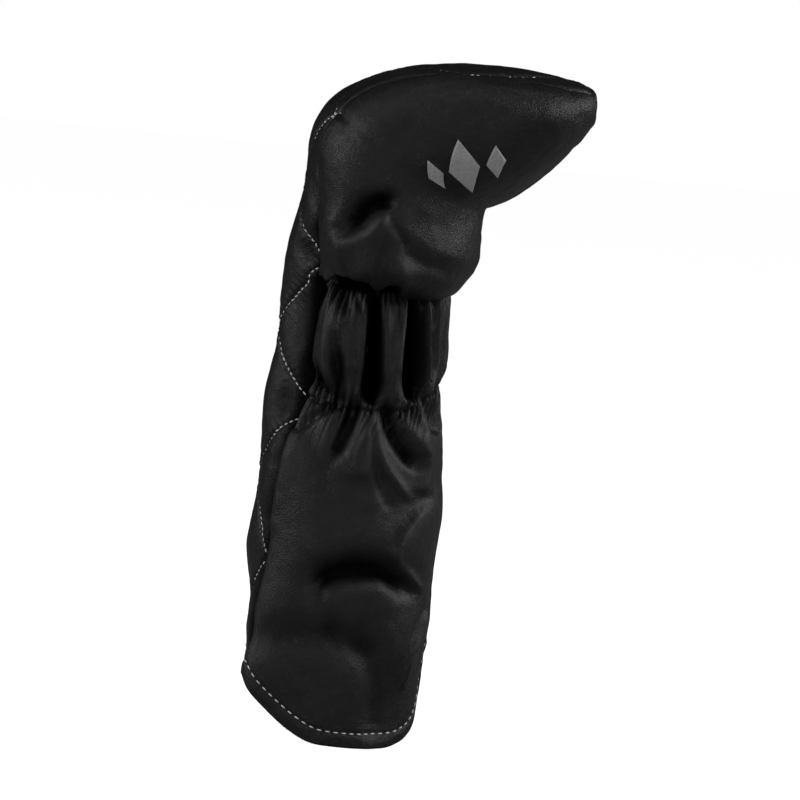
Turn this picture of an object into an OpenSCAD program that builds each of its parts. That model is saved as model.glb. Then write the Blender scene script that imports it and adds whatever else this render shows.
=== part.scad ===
// Head cover for a golf driver: a long sock of sewn panels that pulls over the club head.
// Z runs up the shaft, X from the heel of the club to its toe, and Y across the club.
// The origin is on the shaft axis, half way up the gathered neck.
// Every panel, pad, tape and lining is a layer of one sewn form. A point of that form is
// found from a section, and a layer lies a set depth below it, towards the section's centre.

/* [Neck] */
// Height of the gathered neck, from its lower elastic to its upper one
neck_height = 60; // [50:1:68]
// From the shaft axis to the back of the neck
neck_back = 43.5; // [40:0.5:50]
// From the shaft axis to the front seam of the neck
neck_front = 41; // [36:1:46]
// Half of the neck's depth
neck_half_depth = 37; // [34:1:44]

/* [Skirt] */
// From the lower elastic down to the hem at the back
skirt_length = 140; // [110:1:170]
// From the shaft axis to the back of the skirt
skirt_back = 47; // [43:0.5:54]
// From the shaft axis to the front seam of the skirt
skirt_front = 48; // [44:0.5:56]
// Half of the skirt's depth
skirt_half_depth = 48; // [44:1:54]
// How far the hem hangs lower at the sides than at the back
hem_dip = 34; // [20:1:60]
// How far the side panels swell past the quilted strip at the hem
hem_swell = 4; // [0:0.5:8]
// Height of the hem's front notch above its back end
notch_rise = 20; // [0:1:40]
// Height above the hem over which that swelling fades
swell_rise = 30; // [20:1:45]
// From the lower elastic down to where the skirt is full
full_drop = 78; // [60:1:95]
// From the lower elastic down to where the skirt has flared out
flare_drop = 23; // [15:1:40]

/* [Head] */
// From the upper elastic up to the crown
head_height = 118; // [108:1:140]
// From the shaft axis to the back of the head
head_back = 35.5; // [32:0.5:44]
// From the shaft axis to the tip of the nose
head_reach = 110.5; // [100:0.5:125]
// Half of the head's depth
head_half_depth = 60; // [48:1:68]
// Height of the nose tip above the upper elastic
nose_height = 100; // [92:1:107]
// From the shaft axis to the throat under the nose
throat_reach = 56; // [50:1:66]
// Height of the throat above the upper elastic
throat_height = 47; // [36:1:56]
// From the shaft axis to the highest point of the crown
crown_reach = 50; // [35:1:65]
// Height of the rounded shoulder at the back of the crown
shoulder_height = 48; // [36:1:60]

/* [Quilted strip] */
// Width of the strip before it is sewn in
strip_width = 72; // [60:1:78]
// How far the strip wraps round the back of the neck
strip_wrap = 20; // [14:1:22]
// How far the strip wraps down from the crown
crown_wrap = 7; // [3:0.5:9]
// Width of a quilted diamond
diamond_width = 60; // [30:1:72]
// Length of a quilted diamond
diamond_length = 78; // [40:1:100]
// How far the diamonds are shifted down along the strip
diamond_shift = 20; // [0:1:40]
// How far a diamond swells between its stitch lines
quilt_swell = 2; // [0.5:0.1:3]

/* [Gathers] */
// How far a pleat stands out at mid neck
pleat_depth = 7.5; // [2:0.5:9]
// How far a fold stands out below the lower elastic
fold_depth = 5; // [1:0.5:7]
// How far down the skirt the folds reach
fold_reach = 40; // [20:1:50]
// From the lower elastic down to where the slack skirt buckles
buckle_drop = 76; // [65:1:85]

/* [Layers] */
// Thickness of the leather
leather = 1.6; // [1:0.1:2]
// Thickness of the padding under the leather
padding = 2; // [1.6:0.1:3]
// Thickness of the plush lining
lining = 3; // [2:0.1:4]
// Thickness of an elastic tape
elastic = 1.4; // [1:0.1:1.6]
// Width of an elastic tape
elastic_width = 10; // [6:1:14]
// Height of the facing sewn inside the hem
facing_height = 14; // [8:1:20]
// Room between two layers
layer_gap = 0.3; // [0.2:0.05:0.5]

/* [Emblem] */
// Height of the middle lozenge of the sewn-on emblem
lozenge_height = 28; // [16:1:34]
// Width of the middle lozenge
lozenge_width = 16; // [8:1:20]
// Size of the two outer lozenges, as a share of the middle one
outer_share = 0.6; // [0.4:0.05:0.8]
// Room between two lozenges
lozenge_gap = 3; // [1:0.5:6]
// Thickness of the felt
felt = 1; // [0.6:0.1:1.6]

/* [Hidden] */

// Heights of the sewn lines, from the hem up
neck_top = neck_height / 2;
neck_base = -neck_height / 2;
hem_back = neck_base - skirt_length;
hem_low = hem_back - hem_dip;
crown_top = neck_top + head_height;
shoulder_base = crown_top - shoulder_height;
nose_level = neck_top + nose_height;
throat_level = neck_top + throat_height;

// Depths below the sewn form, from the outside in
pad_depth = leather + layer_gap;
lining_depth = pad_depth + padding + layer_gap;
lining_end = lining_depth + lining;

// Shape of the head: how full its shoulder is along and up, and its nose from the side, below and above
shoulder_fullness = 2.5;
shoulder_rise = 2;
nose_fullness = 3.7;
belly_fullness = 1.3;
plan_fullness = 2.3;
widest_reach = 42;
// Share of the nose's half depth that the strip keeps as it narrows
nose_share = 0.66;
// Length of a parabola: the square of its wrap counts this many times
wrap_weight = 1.28;
// At its widest a side keeps this share of the strip's half width, and gains this share of its bulge
side_lead = 0.843;
side_gain = 0.906;
// The swell of a side is taken this many times, and fades from the strip to the front seam
swell_gain = 6;
// Shares of the head's length where its back ends and where its shoulder ends
back_share = 0.30;
shoulder_share = 0.73;
// Share of the belly curve that the shoulder sections reach
belly_share = 0.55;
// How quickly the head gains its depth above the collar, and the throat its reach
depth_power = 5;
throat_power = 7;
// Bend of the strip at the nose, as a share of the section's width
nose_wrap = 0.2;
// Length of an ellipse's quarter, and of the squarer nose's, as a share of the sum of its two half axes
ellipse_arc = 0.80;
nose_arc = 0.89;
// Share of the head's length from which the layers close in on one point
core_share = 0.86;

// Sections of the sleeve: height, back, front, half depth, wrap of the strip, swell of the sides
lobe_top = hem_back + swell_rise;
full_level = neck_base - full_drop;
flare_level = neck_base - flare_drop;
hem_wrap = 3;
hem_inset = 0.75 * hem_swell;
lobe_inset = 2.5;
// How much the skirt draws in at its hem, and the neck opens at its two elastics
hem_draw = 1;
base_flare = 2;
base_lead = 3;
collar_inset = 1.5;
collar_lead = 1;
sleeve_sections = [
    [hem_low, -skirt_back + hem_inset, skirt_front - hem_draw, skirt_half_depth - hem_draw,
     hem_wrap, hem_swell],
    [hem_back, -skirt_back + hem_inset, skirt_front - hem_draw, skirt_half_depth, hem_wrap, hem_swell],
    [lobe_top, -skirt_back + lobe_inset, skirt_front, skirt_half_depth, 0.2 * strip_wrap, hem_swell / 2],
    [full_level, -skirt_back, skirt_front, skirt_half_depth - hem_draw, 0.5 * strip_wrap, 0],
    [flare_level, -skirt_back + hem_draw, skirt_front - hem_draw, skirt_half_depth - 2 * hem_draw,
     0.72 * strip_wrap, 0],
    [neck_base, -neck_back - base_flare, neck_front + base_lead, neck_half_depth + base_flare, strip_wrap, 0],
    [0, -neck_back, neck_front, neck_half_depth, strip_wrap, 0],
    [neck_top, -neck_back + collar_inset, neck_front + collar_lead, neck_half_depth, strip_wrap, 0]];
// Outline of the hem: share of the way from the strip to the front seam, share of the dip
hem_outline = [[0, 0], [0.1, 0], [0.15, 0.03], [0.2, 0.16], [0.3, 0.43], [0.4, 0.74], [0.47, 0.91],
               [0.55, 0.97], [0.7, 1], [0.8, 0.95], [0.9, 0.75], [0.96, 0.38], [1, -notch_rise / hem_dip]];
// Outline of the pleats round a side: share of the way to the front seam, share of the pleats' depth
pleat_outline = [[0, 0.1], [0.05, 0.6], [0.11, 0.9], [0.17, 1], [0.23, 0.8], [0.29, 0.6], [0.34, 0.8],
                 [0.39, 1], [0.455, 0.9], [0.48, 0.2], [0.495, 0], [0.51, 0.2], [0.535, 0.85], [0.6, 1],
                 [0.675, 0.9], [0.7, 0.25], [0.73, 0], [0.76, 0.2], [0.8, 0.75], [0.835, 0.3], [0.87, 0.1],
                 [0.905, 0.15], [0.945, 0.5], [0.98, 0.4], [1, 0.2]];

// Length of a side from the strip to the front seam, as a share of the skirt's width
side_share = 1.3;
side_run = side_share * (skirt_back + skirt_front);
// The leather may sink where the skirt has no padding behind it
hollow_depth = padding;
// Folds of the skirt: height, half width, and stops as [share of the way to the front seam, drop]
strip_fold = [0.35 * fold_depth, 9, [[0.03, 0.3 * fold_reach], [0.03, 1.5 * fold_reach]]];
first_ridge = [0.8 * fold_depth, 7, [[0.48, 0.2 * fold_reach], [0.46, 0.9 * fold_reach]]];
second_ridge = [0.7 * fold_depth, 7, [[0.54, 0.2 * fold_reach], [0.58, 0.7 * fold_reach], [0.66, fold_reach]]];
bent_ridge = [fold_depth, 8, [[0.76, 0.2 * fold_reach], [0.8, 0.6 * fold_reach], [0.8, 0.95 * fold_reach],
                              [0.74, 1.15 * fold_reach], [0.66, 1.6 * fold_reach]]];
first_hollow = [-hollow_depth, 7, [[0.4, 0.35 * fold_reach], [0.38, 0.6 * fold_reach]]];
second_hollow = [-hollow_depth, 6, [[0.62, 0.3 * fold_reach], [0.72, 0.65 * fold_reach]]];
front_hollow = [-hollow_depth, 5, [[0.87, 0.3 * fold_reach], [0.9, 0.5 * fold_reach]]];
buckle = [-hollow_depth, 9, [[0.38, buckle_drop + 12], [0.41, buckle_drop], [0.6, buckle_drop - 2],
                             [0.74, buckle_drop + 11], [0.86, buckle_drop + 22]]];
buckle_brow = [0.6 * fold_depth, 9, [[0.32, buckle_drop - 16], [0.58, buckle_drop - 17]]];
buckle_lip = [0.7 * fold_depth, 9, [[0.48, buckle_drop + 18], [0.68, buckle_drop + 20]]];
skirt_folds = [strip_fold, first_ridge, second_ridge, bent_ridge, first_hollow, second_hollow, front_hollow,
               buckle, buckle_brow, buckle_lip];

// Smooth curve through the rows of a table, read at x in its first column
function row_at(table, x, i = 0) =
    i >= len(table) - 2 || x < table[i + 1][0] ? i : row_at(table, x, i + 1);
function slope(table, i) =
    let (a = max(i - 1, 0), b = min(i + 1, len(table) - 1))
    (table[b] - table[a]) / (table[b][0] - table[a][0]);
function curve(table, x) =
    let (i = row_at(table, x), h = table[i + 1][0] - table[i][0], s = (x - table[i][0]) / h)
    (1 + 2 * s) * (1 - s) * (1 - s) * table[i] + s * (1 - s) * (1 - s) * h * slope(table, i)
    + s * s * (3 - 2 * s) * table[i + 1] - s * s * (1 - s) * h * slope(table, i + 1);
function smooth(x) = x * x * (3 - 2 * x);
function mix(a, b, x) = a + (b - a) * x;
function unit(v) = v / norm(v);

// A section is [back point, front point, half depth, wrap of the strip, swell of the sides]
function half_strip(depth, wrap) =
    min(sqrt(strip_width * strip_width / 4 - wrap_weight * wrap * wrap), nose_share * depth);
function sleeve_section(z) =
    let (r = curve(sleeve_sections, z))
    [[r[1], 0, z], [r[2], 0, z], r[3], r[4], r[5]];

// Rails of the head in the plane of the club: its back and crown, and its front and belly
function back_rail(t) =
    let (a = t / back_share,
         b = (t - back_share) / (shoulder_share - back_share),
         c = (t - shoulder_share) / (1 - shoulder_share))
    a < 1 ? [mix(-neck_back + collar_inset, -head_back, smooth(a)), 0, mix(neck_top, shoulder_base, a)]
    : b < 1 ? let (turn = 90 * pow(b, 0.8))
        [crown_reach - (crown_reach + head_back) * pow(cos(turn), 2 / shoulder_fullness), 0,
         shoulder_base + shoulder_height * pow(sin(turn), 2 / shoulder_rise)]
    : [crown_reach + (head_reach - crown_reach) * pow(sin(90 * c), 2 / nose_fullness), 0,
       nose_level + (crown_top - nose_level) * pow(abs(cos(90 * c)), 2 / nose_fullness)];
function front_rail(t) =
    let (a = t / back_share,
         b = (t - back_share) / (shoulder_share - back_share),
         c = (t - shoulder_share) / (1 - shoulder_share),
         q = 90 * (b < 1 ? belly_share * b : mix(belly_share, 1, c)))
    a < 1 ? [mix(neck_front + collar_lead, throat_reach, 1 - pow(1 - a, throat_power)), 0,
             mix(neck_top, throat_level, a)]
    : [throat_reach + (head_reach - throat_reach) * pow(sin(q), 2 / belly_fullness), 0,
       nose_level - (nose_level - throat_level) * pow(abs(cos(q)), 2 / belly_fullness)];
function head_section(t) =
    let (back = back_rail(t), front = front_rail(t), a = min(t / back_share, 1),
         out = max(0, ((back.x + front.x) / 2 - widest_reach) / (head_reach - widest_reach)),
         depth = mix(neck_half_depth, head_half_depth, 1 - pow(1 - a, depth_power))
             * pow(max(0, 1 - pow(out, plan_fullness)), 1 / plan_fullness),
         wrap = min(mix(strip_wrap, crown_wrap, smooth(a)), nose_wrap * norm(front - back)))
    [back, front, depth, wrap, 0];
function section_centre(s) = (s[0] + s[1]) / 2;
function head_centre(t) = section_centre(head_section(min(t, core_share)));

// Points of a section: across the strip (a from -1 to 1), and along a side (f from the strip to the front)
function strip_point(s, a) =
    let (y = half_strip(s[2], s[3]) * a)
    s[0] + unit(s[1] - s[0]) * s[3] * a * a + [0, y, 0];
function side_point(s, f) =
    let (along = unit(s[1] - s[0]), width = norm(s[1] - s[0]), strip = half_strip(s[2], s[3]),
         bulge = (s[2] - side_lead * strip) / side_gain,
         lobe = swell_gain * s[4] * sin(180 * f) * pow(1 - f, 2),
         reach = s[3] + (width - s[3]) * (1 - cos(180 * f)) / 2 - lobe)
    s[0] + along * reach + [0, strip * cos(90 * f) + bulge * sin(180 * f), 0];
function sink(point, centre, depth) = point + unit(centre - point) * depth;

// The quilting is flat only close to the edges of the strip
edge_power = 8;
// Swell of the quilting, from the length along the strip and the place across it
function head_length(t) =
    t < back_share ? mix(0, shoulder_base - neck_top, t / back_share)
    : let (shoulder = ellipse_arc * (crown_reach + head_back + shoulder_height),
           nose = nose_arc * (head_reach - crown_reach + crown_top - nose_level))
      t < shoulder_share
          ? shoulder_base - neck_top + shoulder * (t - back_share) / (shoulder_share - back_share)
          : shoulder_base - neck_top + shoulder + nose * (t - shoulder_share) / (1 - shoulder_share);
function quilt(a, length, width) =
    let (across = a * width / (diamond_width / 2), along = 2 * (length + diamond_shift) / diamond_length,
         edge = 1 - pow(abs(a), edge_power))
    quilt_swell * edge * sqrt(abs(cos(90 * (across + along)) * cos(90 * (across - along))));

// A fold is highest along its route and fades to both sides of it
function away(p, a, b) = norm(p - a - (b - a) * min(1, max(0, (p - a) * (b - a) / ((b - a) * (b - a)))));
function on_skirt(stop) = [side_run * stop[0], stop[1]];
function fade(p, width, stops) = max([for (i = [1 : len(stops) - 1])
    exp(-pow(away(p, on_skirt(stops[i - 1]), on_skirt(stops[i])) / width, 2))]);
// How square the pleats are from end to end, and how far below the elastic the folds come up
pleat_power = 0.7;
fold_start = 8;
// Folds of the gathered sleeve, from the share along a side and the height
function fold(f, z) =
    let (below = neck_base - z,
         neck = pow(max(0, sin(180 * (z - neck_base) / neck_height)), pleat_power))
    z >= neck_base ? pleat_depth * neck * curve(pleat_outline, f)[1]
    : (1 - exp(-below / fold_start))
        * sum([for (row = skirt_folds) row[0] * fade(on_skirt([f, below]), row[1], row[2])]);
function sum(list, i = 0) = i < len(list) ? list[i] + sum(list, i + 1) : 0;
function hem_level(f) = hem_back - hem_dip * curve(hem_outline, f)[1];

// Faces of a closed shell between an outer and an inner grid, whose last row may be one point
function flat(rows) = [for (row = rows) for (p = row) p];
function quad(a, b, c, d) = [[a, b, c], [a, c, d]];
module shell(outer, inner, tip = []) {
    rows = len(outer);
    columns = len(outer[0]);
    half = rows * columns;
    function at(i, j, k) = k * half + i * columns + j;
    points = concat(flat(outer), flat(inner), tip);
    skin = [for (i = [0 : rows - 2]) for (j = [0 : columns - 2])
        each concat(quad(at(i, j, 0), at(i + 1, j, 0), at(i + 1, j + 1, 0), at(i, j + 1, 0)),
                    quad(at(i, j, 1), at(i, j + 1, 1), at(i + 1, j + 1, 1), at(i + 1, j, 1)))];
    sides = [for (i = [0 : rows - 2]) each
        concat(quad(at(i, 0, 0), at(i, 0, 1), at(i + 1, 0, 1), at(i + 1, 0, 0)),
               quad(at(i, columns - 1, 0), at(i + 1, columns - 1, 0), at(i + 1, columns - 1, 1),
                    at(i, columns - 1, 1)))];
    start = [for (j = [0 : columns - 2]) each
        quad(at(0, j, 0), at(0, j + 1, 0), at(0, j + 1, 1), at(0, j, 1))];
    last = rows - 1;
    finish = len(tip) == 0
        ? [for (j = [0 : columns - 2]) each
            quad(at(last, j, 0), at(last, j, 1), at(last, j + 1, 1), at(last, j + 1, 0))]
        : concat(
            [for (j = [0 : columns - 2]) each [[at(last, j, 0), 2 * half, at(last, j + 1, 0)],
                                               [at(last, j, 1), at(last, j + 1, 1), 2 * half + 1]]],
            quad(at(last, 0, 0), at(last, 0, 1), 2 * half + 1, 2 * half),
            quad(at(last, columns - 1, 0), 2 * half, 2 * half + 1, at(last, columns - 1, 1)));
    polyhedron(points, concat(skin, sides, start, finish), convexity = 10);
}

// Rows along the head, close together at the collar and at the nose
function head_rows(count) = [for (i = [0 : count]) mix(i / count, smooth(i / count), 0.6)];
function shares(count) = [for (j = [0 : count]) j / count];

// Rows and columns that the padding shares with the lining under it, so that the two lie flat together
lining_rows = [for (t = head_rows(15)) if (t < 1) t];
padding_rows = [for (i = [1 : len(lining_rows) - 2]) lining_rows[i]];
padding_columns = [0.04, 0.15, 0.28, 0.42, 0.56, 0.70, 0.84, 0.96];
lining_columns = concat(padding_columns, [1]);
wadding_columns = [-0.94, -0.5, 0, 0.5, 0.94];
lining_strip_columns = [0, 0.5, 0.94, 1];
lining_levels = shares(13);
wadding_levels = [for (v = lining_levels) if (v > 0.1) v];

// Layers of one side: grids of points at a depth
function head_side(rows, columns, depth) =
    [for (t = rows) let (s = head_section(t), c = head_centre(t))
        [for (f = columns) sink(side_point(s, f), c, depth)]];
function sleeve_side(levels, columns, depth, folded) =
    [for (v = levels) [for (f = columns)
        let (z = mix(hem_level(f), neck_top, v), s = sleeve_section(z))
        sink(side_point(s, f), section_centre(s), depth - (folded ? fold(f, z) : 0))]];
function tip_at(depth) = sink(back_rail(1), head_centre(1), depth);

module on_right() mirror([0, 1, 0]) children();

module left_head_panel() color("#1b1b1d") on_right() right_head_solid();
module right_head_panel() color("#1b1b1d") right_head_solid();
module right_head_solid() {
    rows = [for (t = head_rows(28)) if (t < 1) t];
    columns = shares(12);
    shell(head_side(rows, columns, 0), head_side(rows, columns, leather), [tip_at(0), tip_at(leather)]);
}

module left_sleeve_panel() color("#1b1b1d") on_right() right_sleeve_solid();
module right_sleeve_panel() color("#1b1b1d") right_sleeve_solid();
module right_sleeve_solid() {
    levels = concat([0, 0.08, 0.16, 0.22], [for (i = [0 : 14]) mix(0.27, 0.745, i / 14)],
                    [0.79, 0.83, 0.875, 0.92, 0.96, 1]);
    columns = [for (row = pleat_outline) row[0]];
    shell(sleeve_side(levels, columns, 0, true), sleeve_side(levels, columns, leather, true));
}

// Rows of the strip: up the sleeve, then over the head
function strip_rows(across, depth, quilted, rows, head) =
    concat(
        [for (v = rows) let (z = mix(hem_back, neck_top, v), s = sleeve_section(z),
                             width = half_strip(s[2], s[3]))
            [for (a = across) sink(strip_point(s, a), section_centre(s),
                depth - (quilted ? quilt(a, z - hem_back, width) : 0))]],
        [for (t = head) let (s = head_section(t), c = head_centre(t), width = half_strip(s[2], s[3]))
            [for (a = across) sink(strip_point(s, a), c,
                depth - (quilted ? quilt(a, neck_top - hem_back + head_length(t), width) : 0))]]);

module quilted_strip() color("#202022") {
    across = [for (j = [-5 : 5]) j / 5];
    up = shares(20);
    over = [for (t = head_rows(28)) if (t > 0 && t < 1) t];
    shell(strip_rows(across, 0, true, up, over), strip_rows(across, leather, true, up, over),
          [tip_at(0), tip_at(leather)]);
}

module strip_wadding() color("#d8d8d4") {
    shell(strip_rows(wadding_columns, pad_depth, false, wadding_levels, padding_rows),
          strip_rows(wadding_columns, pad_depth + padding, false, wadding_levels, padding_rows));
}

module left_head_padding() color("#d8d8d4") on_right() right_head_pad();
module right_head_padding() color("#d8d8d4") right_head_pad();
module right_head_pad() {
    shell(head_side(padding_rows, padding_columns, pad_depth),
          head_side(padding_rows, padding_columns, pad_depth + padding));
}

// Half of a section from the middle of the strip to the front seam, at a depth
function half_ring(s, c, depth, strip_columns, side_columns) =
    concat([for (a = strip_columns) sink(strip_point(s, a), c, depth)],
           [for (f = side_columns) sink(side_point(s, f), c, depth)]);

module left_head_lining() color("#c9c9c6") on_right() right_head_plush();
module right_head_lining() color("#c9c9c6") right_head_plush();
module right_head_plush() {
    function rings(depth) = [for (t = lining_rows)
        half_ring(head_section(t), head_centre(t), depth, lining_strip_columns, lining_columns)];
    shell(rings(lining_depth), rings(lining_end), [tip_at(lining_depth), tip_at(lining_end)]);
}

module left_sleeve_lining() color("#c9c9c6") on_right() right_sleeve_plush();
module right_sleeve_lining() color("#c9c9c6") right_sleeve_plush();
module right_sleeve_plush() {
    function ring(v, depth) = concat(
        [for (a = lining_strip_columns) let (s = sleeve_section(mix(hem_back, neck_top, v)))
            sink(strip_point(s, a), section_centre(s), depth)],
        [for (f = lining_columns) let (s = sleeve_section(mix(hem_level(f), neck_top, v)))
            sink(side_point(s, f), section_centre(s), depth)]);
    shell([for (v = lining_levels) ring(v, lining_depth)], [for (v = lining_levels) ring(v, lining_end)]);
}

// A tape sewn inside both sides of the sleeve, from one edge of the strip to the other
tape_columns = 16;
tape_start = 0.01;
module tape(low, high) {
    function band(depth) = [for (z = [low, high]) let (s = sleeve_section(z))
        [for (k = [-tape_columns : tape_columns])
            let (f = max(tape_start, 1 - abs(k) / tape_columns), p = side_point(s, f))
            sink([p.x, p.y * sign(k), p.z], section_centre(s), depth)]];
    shell(band(pad_depth), band(pad_depth + elastic));
}
module upper_elastic() color("#e8e8e4") tape(neck_top - elastic_width, neck_top);
module lower_elastic() color("#e8e8e4") tape(neck_base - elastic_width / 2, neck_base + elastic_width / 2);

// The facing is one strip inside the hem of each side, and one inside the end of the quilted strip
function side_facing(depth) =
    [for (up = [0, facing_height]) [for (f = shares(24))
        let (s = sleeve_section(hem_level(f) + up)) sink(side_point(s, f), section_centre(s), depth)]];
function strip_facing(depth) =
    [for (up = [0, facing_height]) let (s = sleeve_section(hem_back + up))
        [for (a = [-3 : 3]) sink(strip_point(s, a / 3), section_centre(s), depth)]];
module hem_facing() color("#161617") {
    shell(side_facing(pad_depth), side_facing(pad_depth + leather));
    on_right() shell(side_facing(pad_depth), side_facing(pad_depth + leather));
    shell(strip_facing(pad_depth), strip_facing(pad_depth + leather));
}

// Lozenges of felt in a row on the left side of the head, each a small grid bent over the panel
emblem_share = 0.61;
emblem_length = 0.49;
emblem_tilt = 20;
emblem_step = 0.01;
emblem_spot = side_point(head_section(emblem_length), emblem_share);
// Steps over the panel, along the head and round its side, that move a point by X and by Z
emblem_long = (side_point(head_section(emblem_length + emblem_step), emblem_share) - emblem_spot)
    / emblem_step;
emblem_round = (side_point(head_section(emblem_length), emblem_share + emblem_step) - emblem_spot)
    / emblem_step;
emblem_area = emblem_long.x * emblem_round.z - emblem_long.z * emblem_round.x;
function on_panel(x, z, depth) =
    let (t = emblem_length + (x * emblem_round.z - z * emblem_round.x) / emblem_area,
         f = emblem_share + (z * emblem_long.x - x * emblem_long.z) / emblem_area)
    sink(side_point(head_section(t), f), head_centre(t), depth);
lozenge_step = (lozenge_width + outer_share * lozenge_width) / 2 + lozenge_gap;
function lozenge_point(k, p, q, depth) =
    let (size = k == 0 ? 1 : outer_share,
         w = k * lozenge_step + (p + q) / 2 * size * lozenge_width / 2,
         h = (p - q) / 2 * size * lozenge_height / 2)
    on_panel(w * cos(emblem_tilt) - h * sin(emblem_tilt), w * sin(emblem_tilt) + h * cos(emblem_tilt), depth);
function lozenge(k, depth) =
    [for (p = [-2 : 2]) [for (q = [-2 : 2]) lozenge_point(k, p / 2, q / 2, depth)]];
module felt_emblem() color("#8c8c8c") on_right() {
    for (k = [-1 : 1]) shell(lozenge(k, -felt), lozenge(k, 0));
}

left_head_panel();
right_head_panel();
left_sleeve_panel();
right_sleeve_panel();
quilted_strip();
strip_wadding();
left_head_padding();
right_head_padding();
left_head_lining();
right_head_lining();
left_sleeve_lining();
right_sleeve_lining();
upper_elastic();
lower_elastic();
hem_facing();
felt_emblem();
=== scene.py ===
# %% [markdown]
# # A driver head cover
# A head cover is a long sock of sewn leather that pulls over a golf driver. Two elastics gather it at the
# neck, a quilted strip runs up its back and over its crown, and pale plush lines it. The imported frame
# holds every piece as a plain solid at its real size. This lesson makes each soft piece again, in the
# same place, as a fine mesh with its folds, seams and stitches, and gives it a finish.

import bmesh
import bpy
import numpy as np
from mathutils import Matrix, Vector


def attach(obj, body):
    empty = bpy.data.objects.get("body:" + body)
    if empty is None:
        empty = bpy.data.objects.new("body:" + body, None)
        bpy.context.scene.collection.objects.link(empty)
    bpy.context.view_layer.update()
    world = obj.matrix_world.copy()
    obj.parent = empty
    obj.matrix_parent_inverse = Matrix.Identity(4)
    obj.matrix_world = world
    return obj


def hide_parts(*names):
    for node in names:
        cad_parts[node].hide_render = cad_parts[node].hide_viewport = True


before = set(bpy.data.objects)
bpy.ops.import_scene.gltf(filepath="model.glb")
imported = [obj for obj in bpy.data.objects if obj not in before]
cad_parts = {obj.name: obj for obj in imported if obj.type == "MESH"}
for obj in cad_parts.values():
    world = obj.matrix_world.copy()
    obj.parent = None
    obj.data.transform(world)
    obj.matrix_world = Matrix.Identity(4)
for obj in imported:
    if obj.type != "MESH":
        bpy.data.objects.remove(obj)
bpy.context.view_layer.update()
MM = 0.001
print("nodes:", len(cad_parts))

# %% [markdown]
# ## Camera
# The picture is square, and shows the cover from its left side, from a little above, leaning back. A long
# lens from two metres keeps it free of distortion. The camera comes first, because the folds further on
# are drawn where the picture shows them, and a function turns a point of the cover into a place in the
# picture.

# %% Camera
PICTURE = 800                       # pixels on each side
PIXEL = 0.52                        # mm of the cover in one pixel
LEAN, LOOK_DOWN = np.radians(5.5), np.radians(6)
LENS, SENSOR = 180, 36
TARGET = np.array((22.8, 0, -27.4))  # the point of the cover in the middle of the picture, in mm
DISTANCE = PICTURE * PIXEL * LENS / SENSOR

towards = np.array((0, -np.cos(LOOK_DOWN), np.sin(LOOK_DOWN)))
level = np.array((1.0, 0, 0))
RIGHT = level * np.cos(LEAN) + np.cross(towards, level) * np.sin(LEAN)
UP = np.cross(towards, RIGHT)

camera = bpy.data.objects.new("studio_camera", bpy.data.cameras.new("studio_camera"))
camera.data.lens, camera.data.sensor_width = LENS, SENSOR
camera.data.clip_end = 30
axes = Matrix([Vector(RIGHT), Vector(UP), Vector(towards)]).transposed().to_4x4()
camera.matrix_world = Matrix.Translation(Vector((TARGET + towards * DISTANCE) * MM)) @ axes
bpy.context.scene.collection.objects.link(camera)
bpy.context.scene.camera = camera


def in_picture(points):
    """Pixels across and down of points in mm, as the camera sees them."""
    away = points - TARGET
    scale = DISTANCE / (DISTANCE - away @ towards) / PIXEL
    return PICTURE / 2 + away @ RIGHT * scale, PICTURE / 2 - away @ UP * scale


print("camera", round(DISTANCE * MM, 2), "m away")

# %% [markdown]
# ## The sewn form
# All the panels lie on one form, which is the same as the solids have. The sleeve is a pile of level
# sections, read from a short table, and the head is a fan of sections between two rails, its back and
# crown and its front and belly. A place on a side is a share from the quilted strip (0) to the front seam
# (1), and a place on the strip runs from one edge (-1) to the other (1). The sizes are in millimetres.

# %% Sizes of the form
NECK_HEIGHT, NECK_BACK, NECK_FRONT, NECK_HALF_DEPTH = 60, 43.5, 41, 37
SKIRT_LENGTH, SKIRT_BACK, SKIRT_FRONT, SKIRT_HALF_DEPTH = 140, 47, 48, 48
HEM_DIP, HEM_SWELL, NOTCH_RISE, SWELL_RISE, FULL_DROP, FLARE_DROP = 34, 4, 20, 30, 78, 23
HEAD_HEIGHT, HEAD_BACK, HEAD_REACH, HEAD_HALF_DEPTH = 118, 35.5, 110.5, 60
NOSE_HEIGHT, THROAT_REACH, THROAT_HEIGHT, CROWN_REACH, SHOULDER_HEIGHT = 100, 56, 47, 50, 48
STRIP_WIDTH, STRIP_WRAP, CROWN_WRAP = 72, 20, 7
DIAMOND_WIDTH, DIAMOND_LENGTH, DIAMOND_SHIFT, QUILT_SWELL = 60, 78, 20, 2
LEATHER, PADDING, LINING, ELASTIC, ELASTIC_WIDTH, FACING_HEIGHT, FELT, GAP = 1.6, 2, 3, 1.4, 10, 14, 1, 0.3

NECK_TOP, NECK_BASE = NECK_HEIGHT / 2, -NECK_HEIGHT / 2
HEM_BACK = NECK_BASE - SKIRT_LENGTH
HEM_LOW = HEM_BACK - HEM_DIP
CROWN_TOP = NECK_TOP + HEAD_HEIGHT
SHOULDER_BASE = CROWN_TOP - SHOULDER_HEIGHT
NOSE_LEVEL, THROAT_LEVEL = NECK_TOP + NOSE_HEIGHT, NECK_TOP + THROAT_HEIGHT
PAD_DEPTH = LEATHER + GAP
LINING_DEPTH = PAD_DEPTH + PADDING + GAP

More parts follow.
